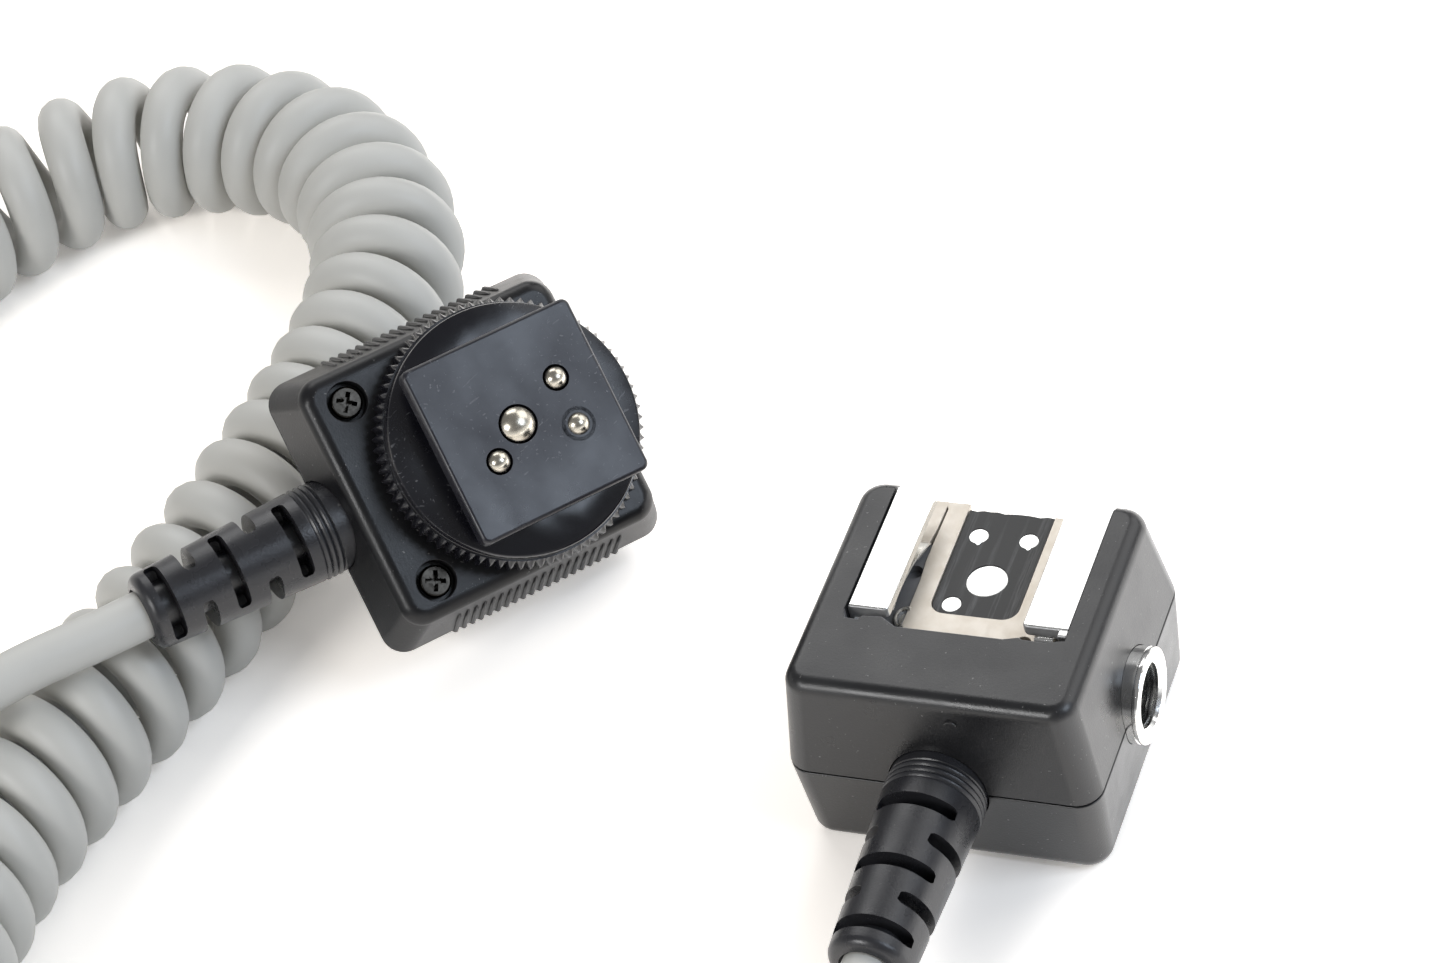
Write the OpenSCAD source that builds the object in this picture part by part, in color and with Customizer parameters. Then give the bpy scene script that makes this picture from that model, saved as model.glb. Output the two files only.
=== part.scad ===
// Off-camera flash shoe cord: a hot-shoe block for a flash, a foot unit for the
// camera, and the curly cord that joins them. Millimetres. The origin is the mouth
// of the tripod socket in the flash block's base; +Z is up, +Y runs
// along the shoe away from the cord, and +X points to the side terminal.

/* [Flash block] */
// Width of the block at its parting line, across the shoe
block_w = 30.6; // [30:0.2:36]
// Length of the block at its parting line, along the shoe
block_d = 29; // [29:0.2:34]
// Distance from the tripod socket forward to the block's front wall, where the cord leaves
block_front = 14.2; // [13.8:0.2:16]
// Height of the block from its base to the top face
block_h = 21; // [20:0.5:26]
// Height of the parting line above the base
parting_h = 9.9; // [9.4:0.1:10.6]
// Inward lean of the upper shell's walls at the top face
top_lean = 1.1; // [0.6:0.1:1.6]
// Inward lean of the lower shell's walls at the base
base_lean = 0.5; // [0.2:0.1:1.6]
// Radius of the upright corners of both housings
corner_r = 2.4; // [2.2:0.2:4]
// Radius of the rolled edges of both housings
edge_r = 1.5; // [0.8:0.1:1.8]
// Wall thickness of both housings
wall = 1.8; // [1.4:0.1:2.2]

/* [Accessory shoe] */
// Distance from the tripod socket back to the shoe's centre contact
shoe_offset = 5.4; // [4.8:0.2:6]
// Depth of the shoe's floor below the top face
floor_drop = 3.6; // [3.2:0.1:4]
// Clear width between the two lips
lip_gap = 12.8; // [12.4:0.1:13.2]
// Width inside the channel, for the foot
channel_w = 18.8; // [18.7:0.1:19.4]
// Height inside the channel, under the lips
channel_h = 2.15; // [2.1:0.05:2.4]
// Thickness of the plated sheet
sheet = 1.2; // [0.8:0.1:1.3]
// Length of the rails in front of the centre contact
rail_front = 8; // [7:0.2:8.4]
// Length of the rails behind the centre contact
rail_back = 7.5; // [7:0.1:7.6]
// Width of the window in the shoe's floor
window_w = 8.4; // [8:0.2:9]

/* [Contacts] */
// Sideways distance of a small contact from the centre contact
small_side = 2.5; // [2.5:0.1:2.9]
// Distance of the lone small contact towards the cord
small_near = 3.35; // [3.3:0.05:3.6]
// Distance of the paired small contacts away from the cord
small_far = 5.5; // [5.2:0.1:5.6]
// Radius of the centre contact in the shoe
centre_pad_r = 2; // [1.6:0.1:2.2]
// Radius of the small contacts in the shoe
small_pad_r = 0.9; // [0.7:0.05:1]

/* [Side terminal and tripod socket] */
// Outer radius of the terminal's threaded collar
collar_r = 4.6; // [4.2:0.1:5]
// Radius inside the collar
collar_bore_r = 3.1; // [2.8:0.1:3.4]
// How far the collar stands out of the block
collar_rise = 1.3; // [0.5:0.1:1.5]
// Radius of the tripod socket, for a quarter-inch thread
socket_r = 3.175; // [3.1:0.025:3.3]
// Depth of the tripod socket
socket_depth = 6; // [5:0.5:6.5]
// Outer radius of the tripod bush
bush_r = 5; // [4.4:0.1:5.6]

/* [Camera unit] */
// Length of the unit at its parting line, along its foot
unit_l = 31.4; // [30.8:0.2:36]
// Width of the unit at its parting line, without its grip ribs
unit_w = 29.6; // [28.8:0.2:34]
// Thickness of the unit's housing
unit_h = 14; // [13.4:0.2:16]
// Inward lean of the unit's walls at its front and back faces
unit_lean = 1.4; // [0.4:0.1:1.6]
// Distance from the unit's middle to the middle of its foot
foot_offset = 2.7; // [2.1:0.1:3.3]
// Number of grip ribs on each side
rib_count = 20; // [8:1:22]
// Distance from one grip rib to the next
rib_step = 0.97; // [0.9:0.01:1]
// How far the grip ribs stand out
rib_rise = 0.35; // [0.2:0.05:0.6]

/* [Mounting foot] */
// Length of the foot plate
foot_l = 18.5; // [17.8:0.1:19]
// Width of the foot plate
foot_w = 18.6; // [18.2:0.1:18.7]
// Thickness of the foot plate
foot_t = 2; // [1.8:0.05:2.05]
// Clear height between the foot plate and the lock wheel
clamp_gap = 2.8; // [2.4:0.1:3.2]
// Width of the neck that passes between a shoe's lips
neck_w = 12.2; // [11.8:0.1:12.3]
// Radius of the threaded boss that the lock wheel turns on
boss_r = 7.95; // [7.8:0.05:8.2]
// Distance of the centre pin from the middle of the foot
pin_offset = 0.9; // [0.6:0.1:1.1]
// Radius of the centre pin
centre_pin_r = 1.75; // [1.6:0.05:1.8]
// Radius of the small pins
small_pin_r = 1.12; // [1:0.02:1.14]
// How far the centre pin stands out of the foot
pin_rise = 0.9; // [0.6:0.1:1.2]

/* [Lock wheel] */
// Radius over the wheel's teeth
wheel_r = 13.5; // [13.2:0.1:14.2]
// Radius of the wheel's smooth clamping face
face_r = 12.7; // [12:0.1:12.9]
// Thickness of the toothed rim
rim_t = 2.8; // [2.4:0.1:3.4]
// Thickness of the clamping face above the rim
face_t = 1.2; // [0.8:0.1:1.6]
// Number of teeth
teeth = 80; // [60:1:96]
// Radial clearance of the wheel and of the pins in their bores
running_gap = 0.06; // [0.04:0.01:0.08]

/* [Strain reliefs] */
// Length of a strain relief outside its housing
boot_l = 20; // [18:0.5:24]
// Radius at the housing
boot_r = 4.8; // [4.6:0.1:4.9]
// Radius near the tip
boot_tip_r = 4; // [3.8:0.1:4.4]
// Width of each cross slot
slot_w = 1.7; // [1.3:0.1:2]
// Distance from one cross slot to the next
slot_step = 3.45; // [3:0.05:3.5]

/* [Cord] */
// Diameter of the cord
cord_d = 4.9; // [4.7:0.05:5]
// Radius of the curls, at the middle of the cord
curl_r = 6; // [5.8:0.05:6.2]
// Number of curls
curls = 33; // [26:1:33]

/* [Hidden] */

// Round surfaces
$fn = 48;
hull_sides = 32;
edge_steps = 4;
// Overlap of a cut past the face it opens, and the thickness of a hull's outline
past = 0.5;
leaf = 0.02;
// Clearance between fixed pieces that drop into each other
seat_gap = 0.05;
// Length of a flange's seat behind a wall
seat_depth = 3;

// Flash block
floor_z = block_h - floor_drop;
pocket_floor_z = floor_z - sheet;
pocket_wall = 1.3;
ceiling_z = pocket_floor_z - pocket_wall;
rail_w = channel_w + 2 * sheet;
pocket_w = rail_w + 0.6;
pocket_gap = 1.5;
rail_start_y = shoe_offset - rail_front;
rail_end_y = shoe_offset + rail_back;
bracket_start_y = rail_start_y + 0.8;
// The sheet's floor and the contact plate run on behind the rails
floor_end_y = rail_end_y + 0.9;
block_y = block_d / 2 - block_front;
lip_z = floor_z + channel_h;
window_start_y = shoe_offset - 4.7;
window_corner_r = 1.5;
plate_drop = 0.15;
plate_t = 1.1;
pad_t = 0.3;
stem_r = 0.6;
board_t = 1.2;
board_hang = 2.4;
flash_board_z = ceiling_z - board_hang - board_t;
board_front_gap = 5.9;
board_back_gap = 2.5;
board_side_gap = 0.1;
board_front_y = wall - block_front + board_front_gap;
board_back_y = block_d - block_front - wall - board_back_gap;
board_y = (board_front_y + board_back_y) / 2;
flash_board_l = board_back_y - board_front_y;
post_r = 1.2;
bush_flange_r = bush_r + 1.4;
bush_flange_t = 1.2;
collar_flange_t = 0.9;
collar_flange_rise = 0.25;
insert_t = 1.6;
terminal_pin_r = 0.4;
terminal_pin_circle_r = 1.4;

// Screws of both housings
screw_r = 1;
screw_head_r = 1.65;
screw_head_t = 1.1;
screw_sink = 0.4;
screw_recess_r = 2.05;
screw_column_r = 2.5;
cross_w = 0.5;
cross_l = 1.9;
cross_depth = 0.6;
flash_screw_x = block_w / 2 - wall - screw_column_r - 0.9;
flash_screw_y = block_d / 2 - wall - screw_column_r - 0.9;
flash_screw_l = parting_h + 3.6;
flash_board_w = 2 * (flash_screw_x - screw_column_r - board_side_gap);

// Camera unit, built foot up around the axis of its foot, with its back face at 0
unit_parting_h = unit_h / 2;
wheel_lift = 1.2;
boss_t = wheel_lift + rim_t + face_t + 0.2;
neck_top_z = unit_h + wheel_lift + rim_t + face_t + clamp_gap;
foot_face_z = neck_top_z + foot_t;
foot_corner_r = 0.8;
neck_l = 16.4;
neck_corner_r = 3;
foot_flange_w = 17.4;
foot_flange_t = 2;
foot_screw_at = 6.9;
foot_screw_r = 0.8;
foot_screw_head_r = 1.3;
foot_screw_head_t = 0.8;
wheel_base_z = unit_h + wheel_lift;
tooth_depth = 0.5;
rim_bevel = 0.3;
pin_collar_t = 1;
pin_stop_depth = 5.4;
pin_stop_z = foot_face_z - pin_stop_depth;
pin_collar_rise = 0.45;
counterbore_rise = 0.55;
unit_board_z = unit_parting_h + 0.5;
unit_board_gap = 1.2;
unit_board_l = unit_l - 2 * (foot_offset + wall + unit_board_gap);
unit_board_w = 17;
unit_post_x = 8;
unit_post_y = 6;
spring_turns = 5;
unit_screw_inset_x = 5.8;
unit_screw_inset_y = 5;
unit_screw_x = -foot_offset - unit_l / 2 + unit_screw_inset_x;
unit_screw_y = unit_w / 2 - unit_screw_inset_y;
unit_screw_l = 9;
rib_w = 0.5;
rib_margin = 0.9;
rib_centre_x = -2.1;

// Strain reliefs
boot_flange_r = boot_r + 0.3;
boot_flange_t = 1.4;
boot_first_slot = 3;
boot_slots = 5;
boot_slot_half = 3.7;
boot_sleeve_r = cord_d / 2 + 0.15;
boot_tip_round = 1.1;
boot_bay_w = 14;
boot_bay_l = 6.4;
boot_end_r = boot_tip_r - boot_tip_round * 0.4;
collar_groove = 0.25;

// Where the camera unit lies: one back corner on the ground, leaning on the curls
unit_at = [-60.87, 19.27, 11.02];
unit_turn = [44.7, 5.7, 50.9];

// The cord's free stretches and the line that the curls wind along
cord_r = cord_d / 2;
curl_z = curl_r + cord_r;
curl_route = [
    [-151, 2], [-149.6, 15], [-146.5, 28], [-141, 41.5], [-133.6, 54],
    [-124.5, 63], [-112.8, 67.4], [-100.4, 66], [-90, 58.9], [-83.6, 47.7],
    [-81.3, 35.3], [-81.7, 22.6], [-83, 10], [-85, -2.5], [-87.7, -14.9],
    [-90.4, -27.2], [-91.6, -39.7], [-90, -51.5], [-85, -62.5]
];
flash_tail_route = [
    [0, -48, 8], [-3, -62, 3.4], [-12, -77, cord_r], [-29, -89, cord_r],
    [-52, -96.5, cord_r], [-76, -99, cord_r], [-94, -94, cord_r],
    [-104, -83, cord_r], [-102.5, -71.5, cord_r]
];
camera_tail_route = [
    [-90.3, -24.6, 21.3], [-97, -33, 20.4], [-105, -42.5, 15.5], [-115, -51.5, 8.5],
    [-127, -57, 3.4], [-141, -57, cord_r], [-155, -50.5, cord_r],
    [-166.5, -37, cord_r], [-172, -21, cord_r], [-170.5, -6, cord_r]
];
route_steps = 12;
rings_per_curl = 8;
cord_sides = 6;
tail_sides = 8;
tail_steps = 2;
gap_points = 24;

// ---------- points, directions and sweeps ----------

function unit_vector(v) = v / norm(v);

// Point i of a route, with one mirrored point past each end
function route_point(p, i) =
    i < 0 ? 2 * p[0] - p[1] :
    i >= len(p) ? 2 * p[len(p) - 1] - p[len(p) - 2] : p[i];

// A smooth curve through the route's points, at fraction t of stretch i
function on_curve(p, i, t) =
    let (a = route_point(p, i - 1), b = p[i], c = route_point(p, i + 1),
         d = route_point(p, i + 2))
    0.5 * (2 * b + (c - a) * t + (2 * a - 5 * b + 4 * c - d) * t * t
           + (3 * b - a - 3 * c + d) * t * t * t);

function smooth(p, steps) = [
    for (i = [0 : len(p) - 2], k = [0 : steps - 1]) on_curve(p, i, k / steps),
    p[len(p) - 1]
];

// Distance from the start of a route to each of its points
function running_length(p, i = 0, total = 0, done = []) =
    i >= len(p) ? done :
    let (now = i == 0 ? 0 : total + norm(p[i] - p[i - 1]))
    running_length(p, i + 1, now, concat(done, [now]));

function tangent(p, i) =
    unit_vector(p[min(i + 1, len(p) - 1)] - p[max(i - 1, 0)]);

// One ring of a tube, square to direction t, with its sides counted from ref
function ring(centre, t, ref, r, sides) =
    let (side = unit_vector(cross(t, ref)), up = cross(side, t))
    [for (k = [0 : sides - 1])
        centre + r * (cos(360 * k / sides) * side + sin(360 * k / sides) * up)];

// A closed tube of triangles along a list of points
module tube(points, refs, r, sides) {
    count = len(points);
    rings = [for (i = [0 : count - 1])
        each ring(points[i], tangent(points, i), refs[i], r, sides)];
    walls = [for (i = [0 : count - 2], k = [0 : sides - 1])
        let (a = i * sides + k, b = i * sides + (k + 1) % sides)
        each [[a, b, b + sides], [a, b + sides, a + sides]]];
    start_cap = [for (k = [1 : sides - 2]) [0, k + 1, k]];
    last = (count - 1) * sides;
    end_cap = [for (k = [1 : sides - 2]) [last, last + k, last + k + 1]];
    polyhedron(points = rings, faces = concat(walls, start_cap, end_cap));
}

// Turns a point of the camera unit to its place on the ground
function turn_x(p, a) = [p[0], p[1] * cos(a) - p[2] * sin(a), p[1] * sin(a) + p[2] * cos(a)];
function turn_y(p, a) = [p[0] * cos(a) + p[2] * sin(a), p[1], p[2] * cos(a) - p[0] * sin(a)];
function turn_z(p, a) = [p[0] * cos(a) - p[1] * sin(a), p[0] * sin(a) + p[1] * cos(a), p[2]];
function unit_point(p) =
    unit_at + turn_z(turn_y(turn_x(p, unit_turn[0]), unit_turn[1]), unit_turn[2]);

module place_unit() translate(unit_at) rotate(unit_turn) children();

// ---------- shared shapes ----------

module rounded_rect(l, w, r) {
    square([l - 2 * r, w], center = true);
    square([l, w - 2 * r], center = true);
    for (x = [-1, 1], y = [-1, 1])
        translate([x * (l / 2 - r), y * (w / 2 - r)]) circle(r = r);
}

// A disc whose upper edge is rolled over, to stand in the corners of a hull
module rolled_disc(r, roll) {
    rotate_extrude($fn = hull_sides)
        polygon(concat(
            [[0, -roll], [r, -roll]],
            [for (k = [1 : edge_steps])
                let (a = 90 * k / edge_steps)
                [r - roll + roll * cos(a), roll * sin(a) - roll]],
            [[0, 0]]));
}

// Half of a moulded housing: from the parting outline up to a smaller, rolled face
module half_shape(l, w, h, lean, r, roll) {
    hull()
        for (x = [-1, 1], y = [-1, 1]) {
            translate([x * (l / 2 - r), y * (w / 2 - r), 0])
                cylinder(r = r, h = leaf, $fn = hull_sides);
            translate([x * (l / 2 - lean - r), y * (w / 2 - lean - r), h])
                rolled_disc(r, roll);
        }
}

// Half of a housing with its hollow, open at the parting line
module half_shell(l, w, h, lean, hollow_h) {
    inner_r = corner_r - wall / 2;
    difference() {
        half_shape(l, w, h, lean, corner_r, edge_r);
        translate([0, 0, -past])
            half_shape(l - 2 * wall, w - 2 * wall, hollow_h + past,
                lean * hollow_h / h, inner_r, edge_r / 2);
    }
}

module cross_recess() {
    for (a = [0, 90])
        rotate([0, 0, a])
            translate([-cross_l / 2, -cross_w / 2, -cross_depth])
                cube([cross_l, cross_w, cross_depth + past]);
}

// A cross-head screw: its head's face at 0, its shank down
module screw(length, shank_r, head_r, head_t) {
    difference() {
        union() {
            translate([0, 0, -head_t]) cylinder(r = head_r, h = head_t);
            translate([0, 0, -length]) cylinder(r = shank_r, h = length - head_t / 2);
        }
        cross_recess();
    }
}

// The slotted strain relief: its housing's wall ends at 0, its tip points up
module boot() {
    difference() {
        rotate_extrude()
            polygon(concat(
                [[0, -wall - boot_flange_t - seat_gap],
                 [boot_flange_r, -wall - boot_flange_t - seat_gap],
                 [boot_flange_r, -wall - seat_gap],
                 [boot_r - seat_gap, -wall - seat_gap],
                 [boot_r - seat_gap, 0.6],
                 [boot_r - collar_groove, 0.75],
                 [boot_r - collar_groove, 1.05],
                 [boot_r, 1.2],
                 [boot_r, 1.6],
                 [boot_r - collar_groove, 1.75],
                 [boot_r - collar_groove, 2.05],
                 [boot_r, 2.2],
                 [boot_tip_r, boot_l - boot_tip_round],
                 [boot_tip_r - boot_tip_round * 0.12, boot_l - boot_tip_round * 0.5],
                 [boot_end_r, boot_l],
                 [0, boot_l]]));
        for (i = [0 : boot_slots - 1])
            translate([0, 0, boot_first_slot + i * slot_step - slot_w / 2])
                rotate([0, 0, 90 * i])
                    for (s = [-1, 1])
                        difference() {
                            translate([-boot_slot_half, s > 0 ? 0 : -boot_r - past, 0])
                                cube([2 * boot_slot_half, boot_r + past, slot_w]);
                            translate([0, 0, -past])
                                cylinder(r = boot_sleeve_r, h = slot_w + 2 * past);
                        }
    }
}

// A round-ended sprung contact pin: its foot's face at 0, its collar below
module contact_pin(r, rise, shank_l, collar_r) {
    dome_r = (r * r + rise * rise) / (2 * rise);
    intersection() {
        translate([0, 0, -shank_l]) cylinder(r = r, h = shank_l + rise);
        translate([0, 0, rise - dome_r]) rotate_extrude()
            intersection() {
                union() {
                    circle(r = dome_r);
                    translate([0, -shank_l - dome_r])
                        square([r + past, shank_l + dome_r]);
                }
                translate([0, -shank_l - 2 * dome_r])
                    square([r + past, shank_l + 4 * dome_r]);
            }
    }
    translate([0, 0, -shank_l]) cylinder(r = collar_r, h = pin_collar_t);
}

// ---------- flash block ----------

module at_flash_screws() {
    for (x = [-1, 1], y = [-1, 1])
        translate([x * flash_screw_x, block_y + y * flash_screw_y, 0]) children();
}

// A hole through a wall whose outside is at 0, with a seat inside it for a flange
module flanged_hole(r, flange_r) {
    translate([0, 0, -wall - past]) cylinder(r = r, h = wall + 3 * past + top_lean);
    translate([0, 0, -wall - seat_depth]) cylinder(r = flange_r + seat_gap, h = seat_depth);
}

module boot_hole() {
    translate([0, -block_front, parting_h]) rotate([90, 0, 0])
        flanged_hole(boot_r, boot_flange_r);
}

module collar_hole() {
    translate([block_w / 2, 0, parting_h]) rotate([0, 90, 0])
        flanged_hole(collar_r + seat_gap, collar_r + collar_flange_rise);
}

module flash_top_shell() {
    color([0.13, 0.13, 0.14])
    difference() {
        union() {
            translate([0, block_y, parting_h])
                half_shell(block_w, block_d, block_h - parting_h, top_lean,
                    ceiling_z - parting_h);
            at_flash_screws()
                translate([0, 0, parting_h])
                    cylinder(r = screw_column_r, h = ceiling_z - parting_h + past);
            for (x = [-1, 1], y = [-1, 1])
                translate([x * (flash_board_w / 2 - 2), board_y + y * (flash_board_l / 2 - 2),
                        ceiling_z - board_hang])
                    cylinder(r = post_r, h = board_hang + past);
        }
        translate([-pocket_w / 2, rail_start_y - pocket_gap, pocket_floor_z])
            cube([pocket_w, block_d, block_h]);
        at_flash_screws()
            translate([0, 0, parting_h - past])
                cylinder(r = screw_r + seat_gap / 2, h = flash_screw_l - parting_h + 1);
        contact_places() translate([0, 0, flash_board_z])
            cylinder(r = stem_r + seat_gap, h = block_h - flash_board_z);
        translate([-boot_bay_w / 2, wall - block_front, parting_h - past])
            cube([boot_bay_w, boot_bay_l, block_h - wall - parting_h]);
        boot_hole();
        collar_hole();
    }
}

module flash_bottom_shell() {
    color([0.16, 0.16, 0.17])
    difference() {
        union() {
            translate([0, block_y, parting_h])
                mirror([0, 0, 1])
                    half_shell(block_w, block_d, parting_h, base_lean, parting_h - wall);
            at_flash_screws() cylinder(r = screw_column_r, h = parting_h);
        }
        translate([0, 0, -past]) cylinder(r = bush_r + seat_gap, h = wall + 2 * past);
        at_flash_screws() {
            translate([0, 0, -past])
                cylinder(r = screw_r + 2 * seat_gap, h = parting_h + 2 * past);
            translate([0, 0, -past])
                cylinder(r = screw_recess_r, h = screw_sink + screw_head_t + past);
        }
        boot_hole();
        collar_hole();
    }
}

// The shoe's four contacts, as places on the block
module small_contact_places() {
    for (p = [[-small_side, -small_near], [-small_side, small_far], [small_side, small_far]])
        translate([p[0], shoe_offset + p[1], 0]) children();
}

module contact_places() {
    translate([0, shoe_offset, 0]) children();
    small_contact_places() children();
}

module window_outline(gap) {
    l = floor_end_y + 1 - window_start_y - gap;
    w = window_w - 2 * gap;
    translate([0, window_start_y + gap + l / 2]) {
        translate([0, window_corner_r / 2]) square([w, l - window_corner_r], center = true);
        translate([0, -l / 2 + window_corner_r / 2])
            square([w - 2 * window_corner_r, window_corner_r], center = true);
        for (s = [-1, 1])
            translate([s * (w / 2 - window_corner_r), -l / 2 + window_corner_r])
                circle(r = window_corner_r);
    }
}

// The folded sheet: floor, two rails with lips over the channel, and front stops
module shoe_bracket() {
    stop_w = 2;
    stop_t = 1;
    notch_r = 0.8;
    nose_r = sheet / 2;
    color([0.85, 0.85, 0.83])
    difference() {
        union() {
            translate([-rail_w / 2, bracket_start_y, pocket_floor_z])
                cube([rail_w, rail_end_y - bracket_start_y, sheet]);
            translate([-channel_w / 2, rail_end_y - past, pocket_floor_z])
                cube([channel_w, floor_end_y - rail_end_y + past, sheet]);
            for (s = [-1, 1]) {
                translate([s * (rail_w - sheet) / 2 - sheet / 2, rail_start_y, pocket_floor_z])
                    cube([sheet, rail_end_y - rail_start_y, sheet + channel_h + sheet]);
                translate([s > 0 ? lip_gap / 2 : -rail_w / 2, rail_start_y, lip_z])
                    cube([(rail_w - lip_gap) / 2, rail_end_y - rail_start_y, sheet]);
                translate([s > 0 ? lip_gap / 2 : -rail_w / 2, rail_start_y, lip_z + nose_r])
                    rotate([0, 90, 0])
                        cylinder(r = nose_r, h = (rail_w - lip_gap) / 2, $fn = 24);
                translate([s * (rail_w / 2 - sheet - stop_w / 2) - stop_w / 2,
                        bracket_start_y, floor_z - leaf])
                    cube([stop_w, stop_t, channel_h * 0.7]);
            }
        }
        translate([0, 0, pocket_floor_z - past])
            linear_extrude(sheet + 2 * past) window_outline(0);
        translate([window_w / 2 + 1.4, bracket_start_y, pocket_floor_z - past])
            cylinder(r = notch_r, h = sheet + 2 * past, $fn = 24);
    }
}

// The bowed strip in the left channel that steadies the flash's foot
module shoe_leaf_spring() {
    strip_w = 2.2;
    strip_t = 0.25;
    bow = 0.6;
    front_y = bracket_start_y + 1.4;
    half_l = (rail_end_y - front_y) / 2;
    bow_r = (half_l * half_l + bow * bow) / (2 * bow);
    reach = asin(half_l / bow_r);
    strip_x = -channel_w / 2 + 0.8;
    color([0.72, 0.72, 0.7])
    translate([strip_x, front_y + half_l, floor_z + bow - bow_r])
        rotate([90, 0, 90])
            linear_extrude(strip_w)
                intersection() {
                    difference() {
                        circle(r = bow_r + strip_t, $fn = 360);
                        circle(r = bow_r, $fn = 360);
                    }
                    polygon([[0, 0],
                        [-(bow_r + 1) * tan(reach), bow_r + 1],
                        [(bow_r + 1) * tan(reach), bow_r + 1]]);
                }
}

module shoe_contact_plate() {
    color([0.07, 0.07, 0.08])
    difference() {
        translate([0, 0, pocket_floor_z])
            linear_extrude(sheet - plate_drop) intersection() {
                window_outline(seat_gap);
                translate([-window_w, -block_d])
                    square([2 * window_w, block_d + floor_end_y]);
            }
        translate([0, shoe_offset, 0]) plate_hole(centre_pad_r);
        small_contact_places() plate_hole(small_pad_r);
    }
}

module plate_hole(r) {
    translate([0, 0, pocket_floor_z - past])
        cylinder(r = r + seat_gap, h = sheet + 2 * past);
}

// A round pad flush with the contact plate, on a stem that reaches the board
module pad(r) {
    translate([0, 0, pocket_floor_z]) cylinder(r = r, h = sheet - plate_drop);
    translate([0, 0, flash_board_z + board_t])
        cylinder(r = stem_r, h = pocket_floor_z - flash_board_z - board_t + leaf);
}

module shoe_centre_contact() {
    color([0.9, 0.88, 0.82])
    translate([0, shoe_offset, 0]) pad(centre_pad_r);
}

module shoe_small_contacts() {
    color([0.9, 0.88, 0.82])
    small_contact_places() pad(small_pad_r);
}

module flash_circuit_board() {
    color([0.2, 0.4, 0.25])
    translate([-flash_board_w / 2, board_y - flash_board_l / 2, flash_board_z])
        cube([flash_board_w, flash_board_l, board_t]);
}

module terminal_collar() {
    inner_x = block_w / 2 - wall - seat_gap - collar_flange_t;
    outer_x = block_w / 2 + collar_rise;
    color([0.88, 0.88, 0.86])
    translate([0, 0, parting_h])
        difference() {
            union() {
                translate([inner_x, 0, 0]) rotate([0, 90, 0])
                    cylinder(r = collar_r + collar_flange_rise, h = collar_flange_t);
                translate([inner_x, 0, 0]) rotate([0, 90, 0])
                    cylinder(r = collar_r, h = outer_x - inner_x - 0.3);
                translate([outer_x - 0.3 - leaf, 0, 0]) rotate([0, 90, 0])
                    cylinder(r1 = collar_r, r2 = collar_r - 0.3, h = 0.3 + leaf);
            }
            translate([inner_x - past, 0, 0]) rotate([0, 90, 0])
                cylinder(r = collar_bore_r, h = outer_x - inner_x + 2 * past);
            translate([outer_x - 0.35, 0, 0]) rotate([0, 90, 0])
                cylinder(r1 = collar_bore_r, r2 = collar_bore_r + 0.5, h = 0.5);
        }
}

terminal_insert_x = block_w / 2 - wall - 2 * seat_gap - collar_flange_t - insert_t;

module at_terminal_pins() {
    for (a = [90, 210, 330])
        translate([terminal_insert_x, terminal_pin_circle_r * cos(a),
                parting_h + terminal_pin_circle_r * sin(a)])
            rotate([0, 90, 0]) children();
}

module terminal_insert() {
    color([0.1, 0.1, 0.1])
    difference() {
        translate([terminal_insert_x, 0, parting_h]) rotate([0, 90, 0])
            cylinder(r = collar_r, h = insert_t);
        at_terminal_pins() translate([0, 0, -past])
            cylinder(r = terminal_pin_r, h = insert_t + 2 * past);
    }
}

module terminal_pins() {
    color([0.85, 0.75, 0.45])
    at_terminal_pins() translate([0, 0, -1])
        cylinder(r = terminal_pin_r, h = 1 + insert_t - seat_gap);
}

module tripod_bush() {
    color([0.75, 0.75, 0.72])
    difference() {
        union() {
            cylinder(r = bush_r, h = socket_depth + 1);
            translate([0, 0, wall]) cylinder(r = bush_flange_r, h = bush_flange_t);
        }
        translate([0, 0, -past]) cylinder(r = socket_r, h = socket_depth + past);
    }
}

module flash_case_screws() {
    color([0.25, 0.25, 0.25])
    at_flash_screws()
        translate([0, 0, screw_sink]) mirror([0, 0, 1])
            screw(flash_screw_l - screw_sink, screw_r, screw_head_r, screw_head_t);
}

module flash_cord_boot() {
    color([0.09, 0.09, 0.1])
    translate([0, -block_front, parting_h]) rotate([90, 0, 0]) boot();
}

// ---------- camera unit ----------

module unit_boot_place() {
    translate([-foot_offset - unit_l / 2, 0, unit_parting_h]) rotate([0, -90, 0])
        children();
}

module unit_boot_hole() {
    unit_boot_place() flanged_hole(boot_r, boot_flange_r);
}

// Grip ribs that follow the leaning wall and end below the rolled edge
module grip_ribs(h, lean) {
    top = h - edge_r - rib_margin;
    inward = lean * top / (h - edge_r);
    root = unit_w / 2 - wall / 2;
    tip = unit_w / 2 + rib_rise;
    for (s = [-1, 1], k = [0 : rib_count - 1])
        translate([rib_centre_x + (k - (rib_count - 1) / 2) * rib_step, 0, 0])
            rotate([0, 0, s > 0 ? 0 : 180])
                translate([-rib_w / 2, 0, 0]) rotate([90, 0, 90])
                    linear_extrude(rib_w)
                        polygon([[root, leaf], [tip, leaf], [tip - inward, top],
                            [root - inward, top]]);
}

module at_unit_screws() {
    for (s = [-1, 1]) translate([unit_screw_x, s * unit_screw_y, 0]) children();
}

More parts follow.
